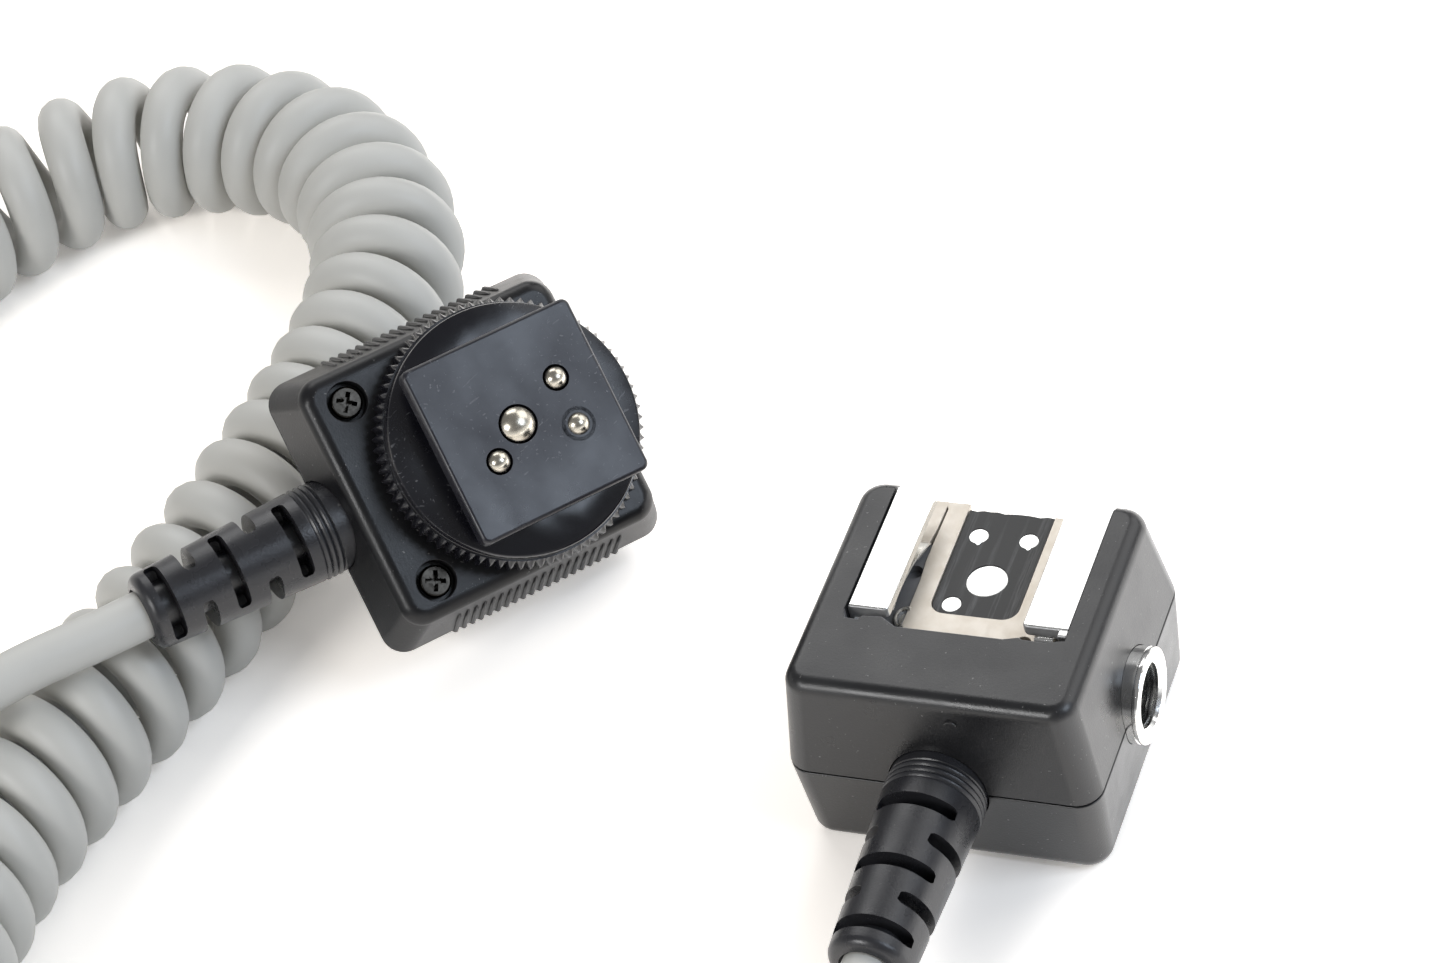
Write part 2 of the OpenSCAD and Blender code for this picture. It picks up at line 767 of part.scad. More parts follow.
module camera_front_shell() {
    front_h = unit_h - unit_parting_h;
    color([0.14, 0.14, 0.16])
    place_unit()
    difference() {
        union() {
            translate([-foot_offset, 0, unit_parting_h])
                half_shell(unit_l, unit_w, front_h, unit_lean, front_h - wall);
            translate([0, 0, unit_parting_h]) grip_ribs(front_h, unit_lean);
            at_unit_screws() translate([0, 0, unit_parting_h])
                cylinder(r = screw_column_r, h = front_h - wall + past);
        }
        translate([0, 0, unit_h - wall - past])
            cylinder(r = boss_r + seat_gap, h = wall + 2 * past);
        at_unit_screws() {
            translate([0, 0, unit_parting_h - past])
                cylinder(r = screw_r + 2 * seat_gap, h = unit_h);
            translate([0, 0, unit_h - screw_sink - screw_head_t])
                cylinder(r = screw_recess_r, h = unit_h);
        }
        for (x = [-1, 1], y = [-1, 1])
            translate([x * foot_screw_at, y * foot_screw_at, unit_h - wall - past])
                cylinder(r = foot_screw_r + seat_gap / 2, h = wall / 2 + past);
        unit_boot_hole();
    }
}

module camera_back_shell() {
    color([0.14, 0.14, 0.16])
    place_unit()
    difference() {
        union() {
            translate([-foot_offset, 0, unit_parting_h])
                mirror([0, 0, 1])
                    half_shell(unit_l, unit_w, unit_parting_h, unit_lean,
                        unit_parting_h - wall);
            translate([0, 0, unit_parting_h]) mirror([0, 0, 1])
                grip_ribs(unit_parting_h, unit_lean);
            at_unit_screws() cylinder(r = screw_column_r, h = unit_parting_h);
            for (x = [-1, 1], y = [-1, 1])
                translate([x * unit_post_x, y * unit_post_y, wall - past])
                    cylinder(r = post_r, h = unit_board_z - wall + past);
        }
        at_unit_screws() translate([0, 0, unit_h - unit_screw_l - 1])
            cylinder(r = screw_r + seat_gap / 2, h = unit_h);
        unit_boot_hole();
    }
}

// The four pins, as places on the foot: the centre, one near the cord, two far
module at_pin(p) translate([p[0], p[1], 0]) children();
centre_at = [-pin_offset, 0];
near_at = [-pin_offset - small_near, -small_side];
far_left_at = [-pin_offset + small_far, small_side];
far_right_at = [-pin_offset + small_far, -small_side];
small_places = [near_at, far_left_at, far_right_at];

module pin_bore(r) {
    translate([0, 0, unit_h - wall - foot_flange_t - past])
        cylinder(r = r + running_gap, h = foot_face_z);
    translate([0, 0, unit_h - wall - foot_flange_t - past])
        cylinder(r = r + counterbore_rise,
            h = pin_stop_z - unit_h + wall + foot_flange_t + past);
}

module mounting_foot() {
    color([0.1, 0.1, 0.11])
    place_unit()
    difference() {
        union() {
            translate([0, 0, neck_top_z]) linear_extrude(foot_t)
                rounded_rect(foot_l, foot_w, foot_corner_r);
            translate([0, 0, unit_h + boss_t]) linear_extrude(foot_face_z - unit_h - boss_t - leaf)
                rounded_rect(neck_l, neck_w, neck_corner_r);
            translate([0, 0, unit_h - wall - leaf])
                cylinder(r = boss_r, h = boss_t + wall + leaf);
            translate([0, 0, unit_h - wall - foot_flange_t])
                linear_extrude(foot_flange_t)
                    rounded_rect(foot_flange_w, foot_flange_w, neck_corner_r);
        }
        at_pin(centre_at) pin_bore(centre_pin_r);
        for (p = small_places) at_pin(p) pin_bore(small_pin_r);
        for (x = [-1, 1], y = [-1, 1])
            translate([x * foot_screw_at, y * foot_screw_at, unit_h - wall - foot_flange_t - past])
                cylinder(r = foot_screw_r + seat_gap, h = foot_flange_t + 2 * past);
    }
}

module foot_screws() {
    head_z = unit_h - wall - foot_flange_t - foot_screw_head_t;
    color([0.6, 0.6, 0.58])
    place_unit()
    for (x = [-1, 1], y = [-1, 1])
        translate([x * foot_screw_at, y * foot_screw_at, head_z])
            mirror([0, 0, 1])
                difference() {
                    union() {
                        translate([0, 0, -foot_screw_head_t])
                            cylinder(r = foot_screw_head_r, h = foot_screw_head_t);
                        translate([0, 0, -foot_screw_head_t - foot_flange_t - wall / 2])
                            cylinder(r = foot_screw_r, h = foot_flange_t + wall / 2 + leaf);
                    }
                    translate([-foot_screw_head_r, -cross_w / 2, -cross_depth / 2])
                        cube([2 * foot_screw_head_r, cross_w, cross_depth]);
                }
}

// The outline of the wheel's teeth: V grooves between narrow tips
module tooth_outline() {
    polygon([for (k = [0 : 2 * teeth - 1])
        let (a = 180 * k / teeth, r = k % 2 == 0 ? wheel_r : wheel_r - tooth_depth)
        [r * cos(a), r * sin(a)]]);
}

module lock_wheel() {
    color([0.1, 0.1, 0.11])
    place_unit()
    translate([0, 0, wheel_base_z])
    difference() {
        union() {
            cylinder(r = wheel_r - tooth_depth - leaf, h = rim_t);
            translate([0, 0, rim_bevel]) linear_extrude(rim_t - 2 * rim_bevel) tooth_outline();
            rotate_extrude()
                polygon([[0, rim_t / 2], [face_r, rim_t / 2],
                    [face_r, rim_t + face_t - 0.3], [face_r - 0.3, rim_t + face_t],
                    [0, rim_t + face_t]]);
        }
        translate([0, 0, -past])
            cylinder(r = boss_r + running_gap, h = rim_t + face_t + 2 * past);
    }
}

module placed_pin(p, r, rise) {
    place_unit()
        translate([p[0], p[1], foot_face_z])
            contact_pin(r, rise, foot_face_z - pin_stop_z + seat_gap + pin_collar_t,
                r + pin_collar_rise);
}

module centre_pin() {
    color([0.8, 0.76, 0.66]) placed_pin(centre_at, centre_pin_r, pin_rise);
}

module near_pin() {
    color([0.8, 0.76, 0.66]) placed_pin(near_at, small_pin_r, pin_rise * 0.8);
}

module far_left_pin() {
    color([0.8, 0.76, 0.66]) placed_pin(far_left_at, small_pin_r, pin_rise * 0.8);
}

module far_right_pin() {
    color([0.8, 0.76, 0.66]) placed_pin(far_right_at, small_pin_r, pin_rise * 0.8);
}

// A coil spring between the board and a pin's collar, both its ends laid flat
module pin_spring(r, wire) {
    bottom = unit_board_z + board_t + wire;
    top = pin_stop_z - seat_gap - pin_collar_t - wire;
    count = spring_turns * rings_per_curl;
    points = [for (i = [0 : count])
        [r * cos(360 * i / rings_per_curl), r * sin(360 * i / rings_per_curl),
         bottom + (top - bottom) * i / count]];
    tube(points, [for (p = points) [0, 0, 1]], wire, cord_sides);
}

module centre_pin_spring() {
    color([0.7, 0.7, 0.68])
    place_unit() at_pin(centre_at) pin_spring(centre_pin_r, 0.25);
}

module small_pin_springs() {
    color([0.7, 0.7, 0.68])
    place_unit() for (p = small_places) at_pin(p) pin_spring(small_pin_r, 0.2);
}

module camera_contact_board() {
    color([0.2, 0.4, 0.25])
    place_unit()
    translate([-unit_board_l / 2, -unit_board_w / 2, unit_board_z])
        cube([unit_board_l, unit_board_w, board_t]);
}

module camera_case_screws() {
    color([0.16, 0.15, 0.15])
    place_unit()
    at_unit_screws()
        translate([0, 0, unit_h - screw_sink])
            screw(unit_screw_l - screw_sink, screw_r, screw_head_r, screw_head_t);
}

module camera_cord_boot() {
    color([0.09, 0.09, 0.1])
    place_unit() unit_boot_place() rotate([0, 0, 90]) boot();
}

// ---------- cord ----------

// Middle line of the curls, with its length, and a point and direction along it
curl_line = smooth(curl_route, route_steps);
curl_marks = running_length(curl_line);
curl_line_l = curl_marks[len(curl_marks) - 1];
line_x = [for (i = [0 : len(curl_line) - 1]) [curl_marks[i], curl_line[i][0]]];
line_y = [for (i = [0 : len(curl_line) - 1]) [curl_marks[i], curl_line[i][1]]];
look_ahead = 3;
function line_point(s) = [lookup(s, line_x), lookup(s, line_y), curl_z];
function line_dir(s) =
    unit_vector(line_point(min(s + look_ahead, curl_line_l))
        - line_point(max(s - look_ahead, 0)));

// The left-handed helix, begun and ended at the bottom of a curl
function curl_point(turn) =
    let (s = curl_line_l * turn / curls, d = line_dir(s), a = -90 - 360 * turn)
    line_point(s) + curl_r * (cos(a) * [-d[1], d[0], 0] + [0, 0, sin(a)]);
curl_start = curl_point(0);
curl_end = curl_point(curls);
start_way = unit_vector([(curl_point(0.02) - curl_start)[0], (curl_point(0.02) - curl_start)[1], 0]);
end_way = unit_vector([(curl_end - curl_point(curls - 0.02))[0],
    (curl_end - curl_point(curls - 0.02))[1], 0]);
curl_points = concat(
    [curl_start - start_way * cord_d],
    [for (i = [0 : curls * rings_per_curl]) curl_point(i / rings_per_curl)],
    [curl_end + end_way * cord_d]);
curl_refs = concat(
    [line_dir(0)],
    [for (i = [0 : curls * rings_per_curl])
        line_dir(curl_line_l * i / curls / rings_per_curl)],
    [line_dir(curl_line_l)]);

// Least gap between one curl and the next, from the points of the helix
gap_line = [for (i = [0 : curls * gap_points]) curl_point(i / gap_points)];
curl_gap = min([for (i = [0 : len(gap_line) - 1 - gap_points / 2],
        j = [i + gap_points / 2 : min(i + gap_points * 3 / 2, len(gap_line) - 1)])
    norm(gap_line[i] - gap_line[j])]) - cord_d;
echo(str("least gap between curls: ", curl_gap, " mm"));
echo(str("length of the curled stretch: ", curls * norm([2 * PI * curl_r, curl_line_l / curls]), " mm"));

module curly_cord() {
    color([0.6, 0.6, 0.57]) tube(curl_points, curl_refs, cord_r, cord_sides);
}

// A free stretch: straight out of its strain relief and straight into the curls
module tail(points) {
    line = smooth(points, tail_steps);
    color([0.6, 0.6, 0.57]) tube(line, [for (p = line) [0, 0, 1]], cord_r, tail_sides);
    echo(str("length of a free stretch: ", max(running_length(line)), " mm"));
}

boot_exit = [-foot_offset - unit_l / 2 - boot_l, 0, unit_parting_h];
camera_tail_points = concat(
    [unit_point(boot_exit), unit_point(boot_exit - [cord_d, 0, 0])],
    camera_tail_route,
    [curl_start - start_way * 2 * cord_d, curl_start - start_way * cord_d]);
flash_tail_points = concat(
    [[0, -block_front - boot_l, parting_h], [0, -block_front - boot_l - cord_d, parting_h]],
    flash_tail_route,
    [curl_end + end_way * 2 * cord_d, curl_end + end_way * cord_d]);

module camera_cord_tail() tail(camera_tail_points);

module flash_cord_tail() tail(flash_tail_points);

flash_top_shell();
flash_bottom_shell();
shoe_bracket();
shoe_leaf_spring();
shoe_contact_plate();
shoe_centre_contact();
shoe_small_contacts();
flash_circuit_board();
terminal_collar();
terminal_insert();
terminal_pins();
tripod_bush();
flash_case_screws();
flash_cord_boot();
camera_front_shell();
camera_back_shell();
mounting_foot();
foot_screws();
lock_wheel();
centre_pin();
near_pin();
far_left_pin();
far_right_pin();
centre_pin_spring();
small_pin_springs();
camera_contact_board();
camera_case_screws();
camera_cord_boot();
camera_cord_tail();
curly_cord();
flash_cord_tail();
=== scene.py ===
"""Looks of the off-camera flash cord: a shoe block, a camera foot unit and a curly cord.

Shapes are built in millimetres in the CAD's frame, the camera unit's in its own frame
first, and finish_piece() puts each one in place, in metres.
"""
import math

import bmesh
import bpy
import numpy as np
from mathutils import Matrix, Vector


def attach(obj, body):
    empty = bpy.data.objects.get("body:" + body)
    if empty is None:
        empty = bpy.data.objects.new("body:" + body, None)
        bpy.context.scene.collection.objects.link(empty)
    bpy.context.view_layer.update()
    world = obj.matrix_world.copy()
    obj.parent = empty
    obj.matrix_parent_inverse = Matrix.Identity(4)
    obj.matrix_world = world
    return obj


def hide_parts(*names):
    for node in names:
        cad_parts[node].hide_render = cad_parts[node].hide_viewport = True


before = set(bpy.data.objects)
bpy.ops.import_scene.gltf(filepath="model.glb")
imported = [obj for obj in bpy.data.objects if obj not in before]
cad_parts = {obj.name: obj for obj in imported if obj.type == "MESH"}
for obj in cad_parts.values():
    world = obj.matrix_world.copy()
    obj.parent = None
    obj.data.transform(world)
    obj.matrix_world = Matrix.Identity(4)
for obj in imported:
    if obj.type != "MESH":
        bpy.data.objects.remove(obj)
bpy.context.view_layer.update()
scene = bpy.context.scene
MM = 0.001
STATIC = "cord_and_units"

# ---------- camera ----------

FOCAL_PX = 4200.0
PHOTO_W = 1445.0
AZIMUTH, ELEVATION, ROLL = 0.54377, 0.75578, -0.28844
CAMERA_AT = Vector((124.38, -241.13, 298.65)) * MM


def make_camera():
    ca, sa = math.cos(AZIMUTH), math.sin(AZIMUTH)
    ce, se = math.cos(ELEVATION), math.sin(ELEVATION)
    back = Vector((sa * ce, -ca * ce, se))
    right = Vector((ca, sa, 0))
    up = right.cross(-back)
    x = math.cos(ROLL) * right + math.sin(ROLL) * up
    y = -math.sin(ROLL) * right + math.cos(ROLL) * up
    data = bpy.data.cameras.new("camera")
    data.sensor_fit = "HORIZONTAL"
    data.sensor_width = 36
    data.lens = FOCAL_PX * data.sensor_width / PHOTO_W
    data.clip_start = 0.01
    data.clip_end = 20
    camera = bpy.data.objects.new("camera", data)
    camera.matrix_world = Matrix.Translation(CAMERA_AT) @ Matrix((x, y, back)).transposed().to_4x4()
    scene.collection.objects.link(camera)
    scene.camera = camera


make_camera()

# ---------- sizes shared with the CAD, in millimetres ----------

UNIT_AT = Vector((-60.87, 19.27, 11.02))
UNIT_TURN = [math.radians(a) for a in (44.7, 5.7, 50.9)]
UNIT = Matrix.Translation(UNIT_AT) @ Matrix.Rotation(UNIT_TURN[2], 4, "Z") \
    @ Matrix.Rotation(UNIT_TURN[1], 4, "Y") @ Matrix.Rotation(UNIT_TURN[0], 4, "X")

BLOCK_W, BLOCK_D, BLOCK_H, PARTING = 30.6, 29.0, 21.0, 9.9
BLOCK_FRONT = 14.2
BLOCK_Y = BLOCK_D / 2 - BLOCK_FRONT
TOP_LEAN, BASE_LEAN, CORNER, EDGE, WALL = 1.1, 0.5, 2.4, 1.5, 1.8
BASE_SCREWS = [(x * 10.1, BLOCK_Y + y * 9.3) for x in (-1, 1) for y in (-1, 1)]
SHOE_Y, FLOOR, SHEET, CHANNEL_W, CHANNEL_H, LIP_GAP = 5.4, 17.4, 1.2, 18.8, 2.15, 12.8
POCKET_FLOOR = FLOOR - SHEET
RAIL_W = CHANNEL_W + 2 * SHEET
RAIL_FRONT, RAIL_BACK, FLOOR_BACK = SHOE_Y - 8, SHOE_Y + 7.5, SHOE_Y + 8.7
SMALL_SIDE, SMALL_NEAR, SMALL_FAR = 2.5, 3.35, 5.5
COLLAR_R, COLLAR_BORE, COLLAR_RISE = 4.6, 3.1, 1.3
UNIT_L, UNIT_W, UNIT_H, UNIT_LEAN, FOOT_OFFSET = 31.4, 29.6, 14.0, 1.4, 2.7
WHEEL_Z, RIM_T, FACE_T, CLAMP_GAP, FOOT_T = 15.2, 2.8, 1.2, 2.8, 2.0
NECK_TOP = WHEEL_Z + RIM_T + FACE_T + CLAMP_GAP
FOOT_FACE = NECK_TOP + FOOT_T
BOOT_L, BOOT_R, BOOT_TIP = 20.0, 4.8, 4.0
CORD_D, CURL_R = 4.9, 6.1

# ---------- the cord ----------

LINE = [(-151, 2), (-149.6, 15), (-146.5, 28), (-141, 41.5), (-133.6, 54), (-124.7, 62.8),
        (-112.8, 66.9), (-100.4, 65.5), (-90.1, 58.4), (-83.5, 47.7), (-81.2, 35.3),
        (-81.7, 22.6), (-83, 10), (-85, -2.5), (-87.7, -14.9), (-90.5, -27.2), (-92, -39.7),
        (-90.6, -51.5), (-85, -62.5)]
# Distance along the line at which each curl comes down to the table
TOUCHES = [2.8, 9.1, 15.4, 21.7, 28.0, 34.3, 40.6, 46.9, 53.2, 59.9, 66.5, 73.0, 79.3, 85.5,
           91.7, 97.9, 104.1, 110.3, 116.5, 122.7, 128.7, 134.5, 140.2, 145.8, 151.6, 157.8,
           164.2, 170.6, 176.9, 183.0, 189.0, 194.7, 200.4, 206.3, 212.2, 218.4, 224.6, 230.9]
FLASH_TAIL = [(0, -48, 8), (-3, -62, 3.4), (-12, -77, 2.45), (-29, -89, 2.45),
              (-52, -96.5, 2.45), (-76, -99, 2.45), (-94, -94, 2.45), (-104, -83, 2.45),
              (-102.5, -71.5, 2.45)]
CAMERA_TAIL = [(-90.3, -24.6, 21.3), (-97, -33, 20.4), (-105, -42.5, 15.5),
               (-115, -51.5, 8.5), (-127, -57, 3.4), (-141, -57, 2.45), (-155, -50.5, 2.45),
               (-166.5, -37, 2.45), (-172, -21, 2.45), (-170.5, -6, 2.45)]


def smooth_route(points, steps):
    """A Catmull-Rom curve through the points, as the CAD draws it."""
    p = [np.array(q, float) for q in points]
    p = [2 * p[0] - p[1]] + p + [2 * p[-1] - p[-2]]
    out = []
    for a, b, c, d in zip(p, p[1:], p[2:], p[3:]):
        for t in np.arange(steps) / steps:
            out.append(0.5 * (2 * b + (c - a) * t + (2 * a - 5 * b + 4 * c - d) * t ** 2
                              + (3 * b - a - 3 * c + d) * t ** 3))
    return np.array(out + [p[-2]])


def run_of(points):
    return np.concatenate([[0], np.cumsum(np.linalg.norm(np.diff(points, axis=0), axis=1))])


def even_points(points, step):
    run = run_of(points)
    at = np.linspace(0, run[-1], int(run[-1] / step) + 1)
    return np.stack([np.interp(at, run, points[:, k]) for k in range(points.shape[1])], 1)


def monotone(x, y, at):
    """Smooth interpolation through rising values, with no overshoot."""
    x, y = np.array(x, float), np.array(y, float)
    h, d = np.diff(x), np.diff(y) / np.diff(x)
    m = np.concatenate([[d[0]], 3 * (h[:-1] + h[1:])
                        / ((2 * h[1:] + h[:-1]) / d[:-1] + (h[1:] + 2 * h[:-1]) / d[1:]), [d[-1]]])
    i = np.clip(np.searchsorted(x, at) - 1, 0, len(h) - 1)
    t = (at - x[i]) / h[i]
    return (y[i] * (1 + 2 * t) * (1 - t) ** 2 + h[i] * m[i] * t * (1 - t) ** 2
            + y[i + 1] * t * t * (3 - 2 * t) + h[i] * m[i + 1] * t * t * (t - 1))


def curl_points(per_turn=40):
    line = even_points(smooth_route(LINE, 30), 0.25)
    run = run_of(line)
    turns = np.arange(0, (len(TOUCHES) - 1) * per_turn + 1) / per_turn
    s = monotone(np.arange(len(TOUCHES)), TOUCHES, turns)
    centre = np.stack([np.interp(s, run, line[:, 0]), np.interp(s, run, line[:, 1])], 1)
    ahead = np.stack([np.interp(s + 3, run, line[:, 0]), np.interp(s + 3, run, line[:, 1])], 1)
    behind = np.stack([np.interp(s - 3, run, line[:, 0]), np.interp(s - 3, run, line[:, 1])], 1)
    along = (ahead - behind) / np.linalg.norm(ahead - behind, axis=1)[:, None]
    angle = np.radians(-90 - 360 * turns)
    side = CURL_R * np.cos(angle)
    return np.stack([centre[:, 0] - along[:, 1] * side, centre[:, 1] + along[:, 0] * side,
                     CURL_R + CORD_D / 2 + CURL_R * np.sin(angle)], 1)


def cord_route():
    curls = curl_points()
    way_in = curls[1] - curls[0]
    way_out = curls[-1] - curls[-2]
    way_in[2] = way_out[2] = 0
    way_in /= np.linalg.norm(way_in)
    way_out /= np.linalg.norm(way_out)
    exit_x = -FOOT_OFFSET - UNIT_L / 2
    camera_end = [np.array(UNIT @ Vector((exit_x - d, 0, UNIT_H / 2)))
                  for d in (-1, BOOT_L * 0.5, BOOT_L, BOOT_L + CORD_D)]
    flash_end = [np.array((0, -BLOCK_FRONT - d, PARTING))
                 for d in (-1, BOOT_L * 0.5, BOOT_L, BOOT_L + CORD_D)]
    first = camera_end + [np.array(p) for p in CAMERA_TAIL] \
        + [curls[0] - way_in * k * CORD_D for k in (3, 2, 1)] + [curls[0]]
    last = flash_end + [np.array(p) for p in FLASH_TAIL] \
        + [curls[-1] + way_out * k * CORD_D for k in (2, 1)] + [curls[-1]]
    first = even_points(smooth_route(first, 12), 1.3)
    last = even_points(smooth_route(last, 12), 1.3)[::-1]
    return np.concatenate([first[:-1], curls, last[1:]])


def make_cord():
    route = cord_route()
    data = bpy.data.curves.new("curly_cord_line", "CURVE")
    data.dimensions = "3D"
    spline = data.splines.new("POLY")
    spline.points.add(len(route) - 1)
    flat = np.concatenate([route * MM, np.ones((len(route), 1))], 1)
    spline.points.foreach_set("co", flat.ravel())
    spline.use_smooth = True
    data.bevel_depth = CORD_D / 2 * MM
    data.bevel_resolution = 6
    data.use_fill_caps = True
    drawn = bpy.data.objects.new("cord_curve", data)
    scene.collection.objects.link(drawn)
    # a mesh tube, because a curve's box takes each point's radius of 1 for a metre
    graph = bpy.context.evaluated_depsgraph_get()
    tube = bpy.data.meshes.new_from_object(drawn.evaluated_get(graph))
    bpy.data.objects.remove(drawn)
    bpy.data.curves.remove(data)
    obj = bpy.data.objects.new("curly_cord_line", tube)
    scene.collection.objects.link(obj)
    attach(obj, STATIC)
    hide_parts("camera_cord_tail", "curly_cord", "flash_cord_tail")
    return obj


cord = make_cord()

# ---------- mesh helpers ----------


def new_object(name, verts, faces):
    mesh = bpy.data.meshes.new(name)
    mesh.from_pydata([tuple(v) for v in verts], [], faces)
    mesh.validate()
    work = bmesh.new()
    work.from_mesh(mesh)
    bmesh.ops.recalc_face_normals(work, faces=work.faces)
    work.to_mesh(mesh)
    work.free()
    obj = bpy.data.objects.new(name, mesh)
    scene.collection.objects.link(obj)
    return obj


def apply_modifiers(obj):
    graph = bpy.context.evaluated_depsgraph_get()
    mesh = bpy.data.meshes.new_from_object(obj.evaluated_get(graph), depsgraph=graph)
    old = obj.data
    obj.modifiers.clear()
    obj.data = mesh
    bpy.data.meshes.remove(old)


def drop(obj):
    mesh = obj.data
    bpy.data.objects.remove(obj)
    bpy.data.meshes.remove(mesh)


def cut(obj, *cutters, how="DIFFERENCE"):
    for cutter in cutters:
        mod = obj.modifiers.new("cut", "BOOLEAN")
        mod.operation = how
        mod.object = cutter
        mod.solver = "EXACT"
        apply_modifiers(obj)
        drop(cutter)
    return obj


def join(name, *objs):
    """One mesh of several, as they lie."""
    work = bmesh.new()
    for obj in objs:
        work.from_mesh(obj.data)
        drop(obj)
    mesh = bpy.data.meshes.new(name)
    work.to_mesh(mesh)
    work.free()
    obj = bpy.data.objects.new(name, mesh)
    scene.collection.objects.link(obj)
    return obj


def moved(obj, matrix):
    obj.data.transform(matrix)
    if matrix.determinant() < 0:
        obj.data.flip_normals()
    return obj


def at(x=0, y=0, z=0):
    return Matrix.Translation(Vector((x, y, z)))


def turned(angle, axis):
    return Matrix.Rotation(math.radians(angle), 4, axis)


def soften(obj, width, segments=3, angle=32):
    """Rounds the edges that a cut left."""
    mod = obj.modifiers.new("soften", "BEVEL")
    mod.width = width
    mod.segments = segments
    mod.limit_method = "ANGLE"
    mod.angle_limit = math.radians(angle)
    mod.use_clamp_overlap = True
    apply_modifiers(obj)
    return obj


def shade(obj, angle=35, weighted=True):
    obj.data.polygons.foreach_set("use_smooth", [True] * len(obj.data.polygons))
    obj.data.set_sharp_from_angle(angle=math.radians(angle))
    if weighted:
        mod = obj.modifiers.new("weighted", "WEIGHTED_NORMAL")
        mod.keep_sharp = True
        mod.weight = 60
        apply_modifiers(obj)
    return obj


def finish_piece(obj, material, body=STATIC, place=None, replaces=()):
    matrix = Matrix.Scale(MM, 4) @ (place or Matrix.Identity(4))
    obj.data.transform(matrix)
    obj.data.materials.clear()
    for m in (material if isinstance(material, (list, tuple)) else [material]):
        obj.data.materials.append(m)
    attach(obj, body)
    if replaces:
        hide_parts(*replaces)
    return obj


def rect_ring(half_l, half_w, r, z, n=8):
    """A rounded rectangle's outline, with its corner centres half_l - r from the middle."""
    out = []
    for sx, sy, start in ((1, 1, 0), (-1, 1, 90), (-1, -1, 180), (1, -1, 270)):
        for k in range(n + 1):
            a = math.radians(start + 90 * k / n)
            out.append((sx * (half_l - r) + r * math.cos(a), sy * (half_w - r) + r * math.sin(a), z))
    return out


def circle_ring(r, z, n):
    return [(r * math.cos(2 * math.pi * k / n), r * math.sin(2 * math.pi * k / n), z)
            for k in range(n)]


def loft(name, rings, capped=True):
    n = len(rings[0])
    verts = [v for ring in rings for v in ring]
    faces = [(i * n + k, i * n + (k + 1) % n, (i + 1) * n + (k + 1) % n, (i + 1) * n + k)
             for i in range(len(rings) - 1) for k in range(n)]
    if capped:
        faces += [tuple(range(n))[::-1], tuple(range((len(rings) - 1) * n, len(rings) * n))]
    return new_object(name, verts, faces)


def lathe(name, profile, n=96):
    """A turned solid: profile is a list of (radius, height), closed on the axis or as a ring."""
    ring = profile[0][0] > 0 and profile[-1][0] > 0 and profile[0] == profile[-1]
    if ring:
        rows = profile[:-1]
        verts = [v for r, z in rows for v in circle_ring(r, z, n)]
        faces = []
        for i in range(len(rows)):
            j = (i + 1) % len(rows)
            faces += [(i * n + k, i * n + (k + 1) % n, j * n + (k + 1) % n, j * n + k)
                      for k in range(n)]
        return new_object(name, verts, faces)
    return loft(name, [circle_ring(max(r, 0.001), z, n) for r, z in profile])


def arc(cx, cz, r, start, end, n=6):
    """Points of a profile's rounding."""
    return [(cx + r * math.cos(math.radians(start + (end - start) * k / n)),
             cz + r * math.sin(math.radians(start + (end - start) * k / n))) for k in range(n + 1)]


def slab(name, x0, x1, y0, y1, z0, z1):
    ring = [(x0, y0), (x1, y0), (x1, y1), (x0, y1)]
    return loft(name, [[(x, y, z) for x, y in ring] for z in (z0, z1)])


def prism(name, outline, z0, z1):
    return loft(name, [[(x, y, z) for x, y in outline] for z in (z0, z1)])


# ---------- materials ----------


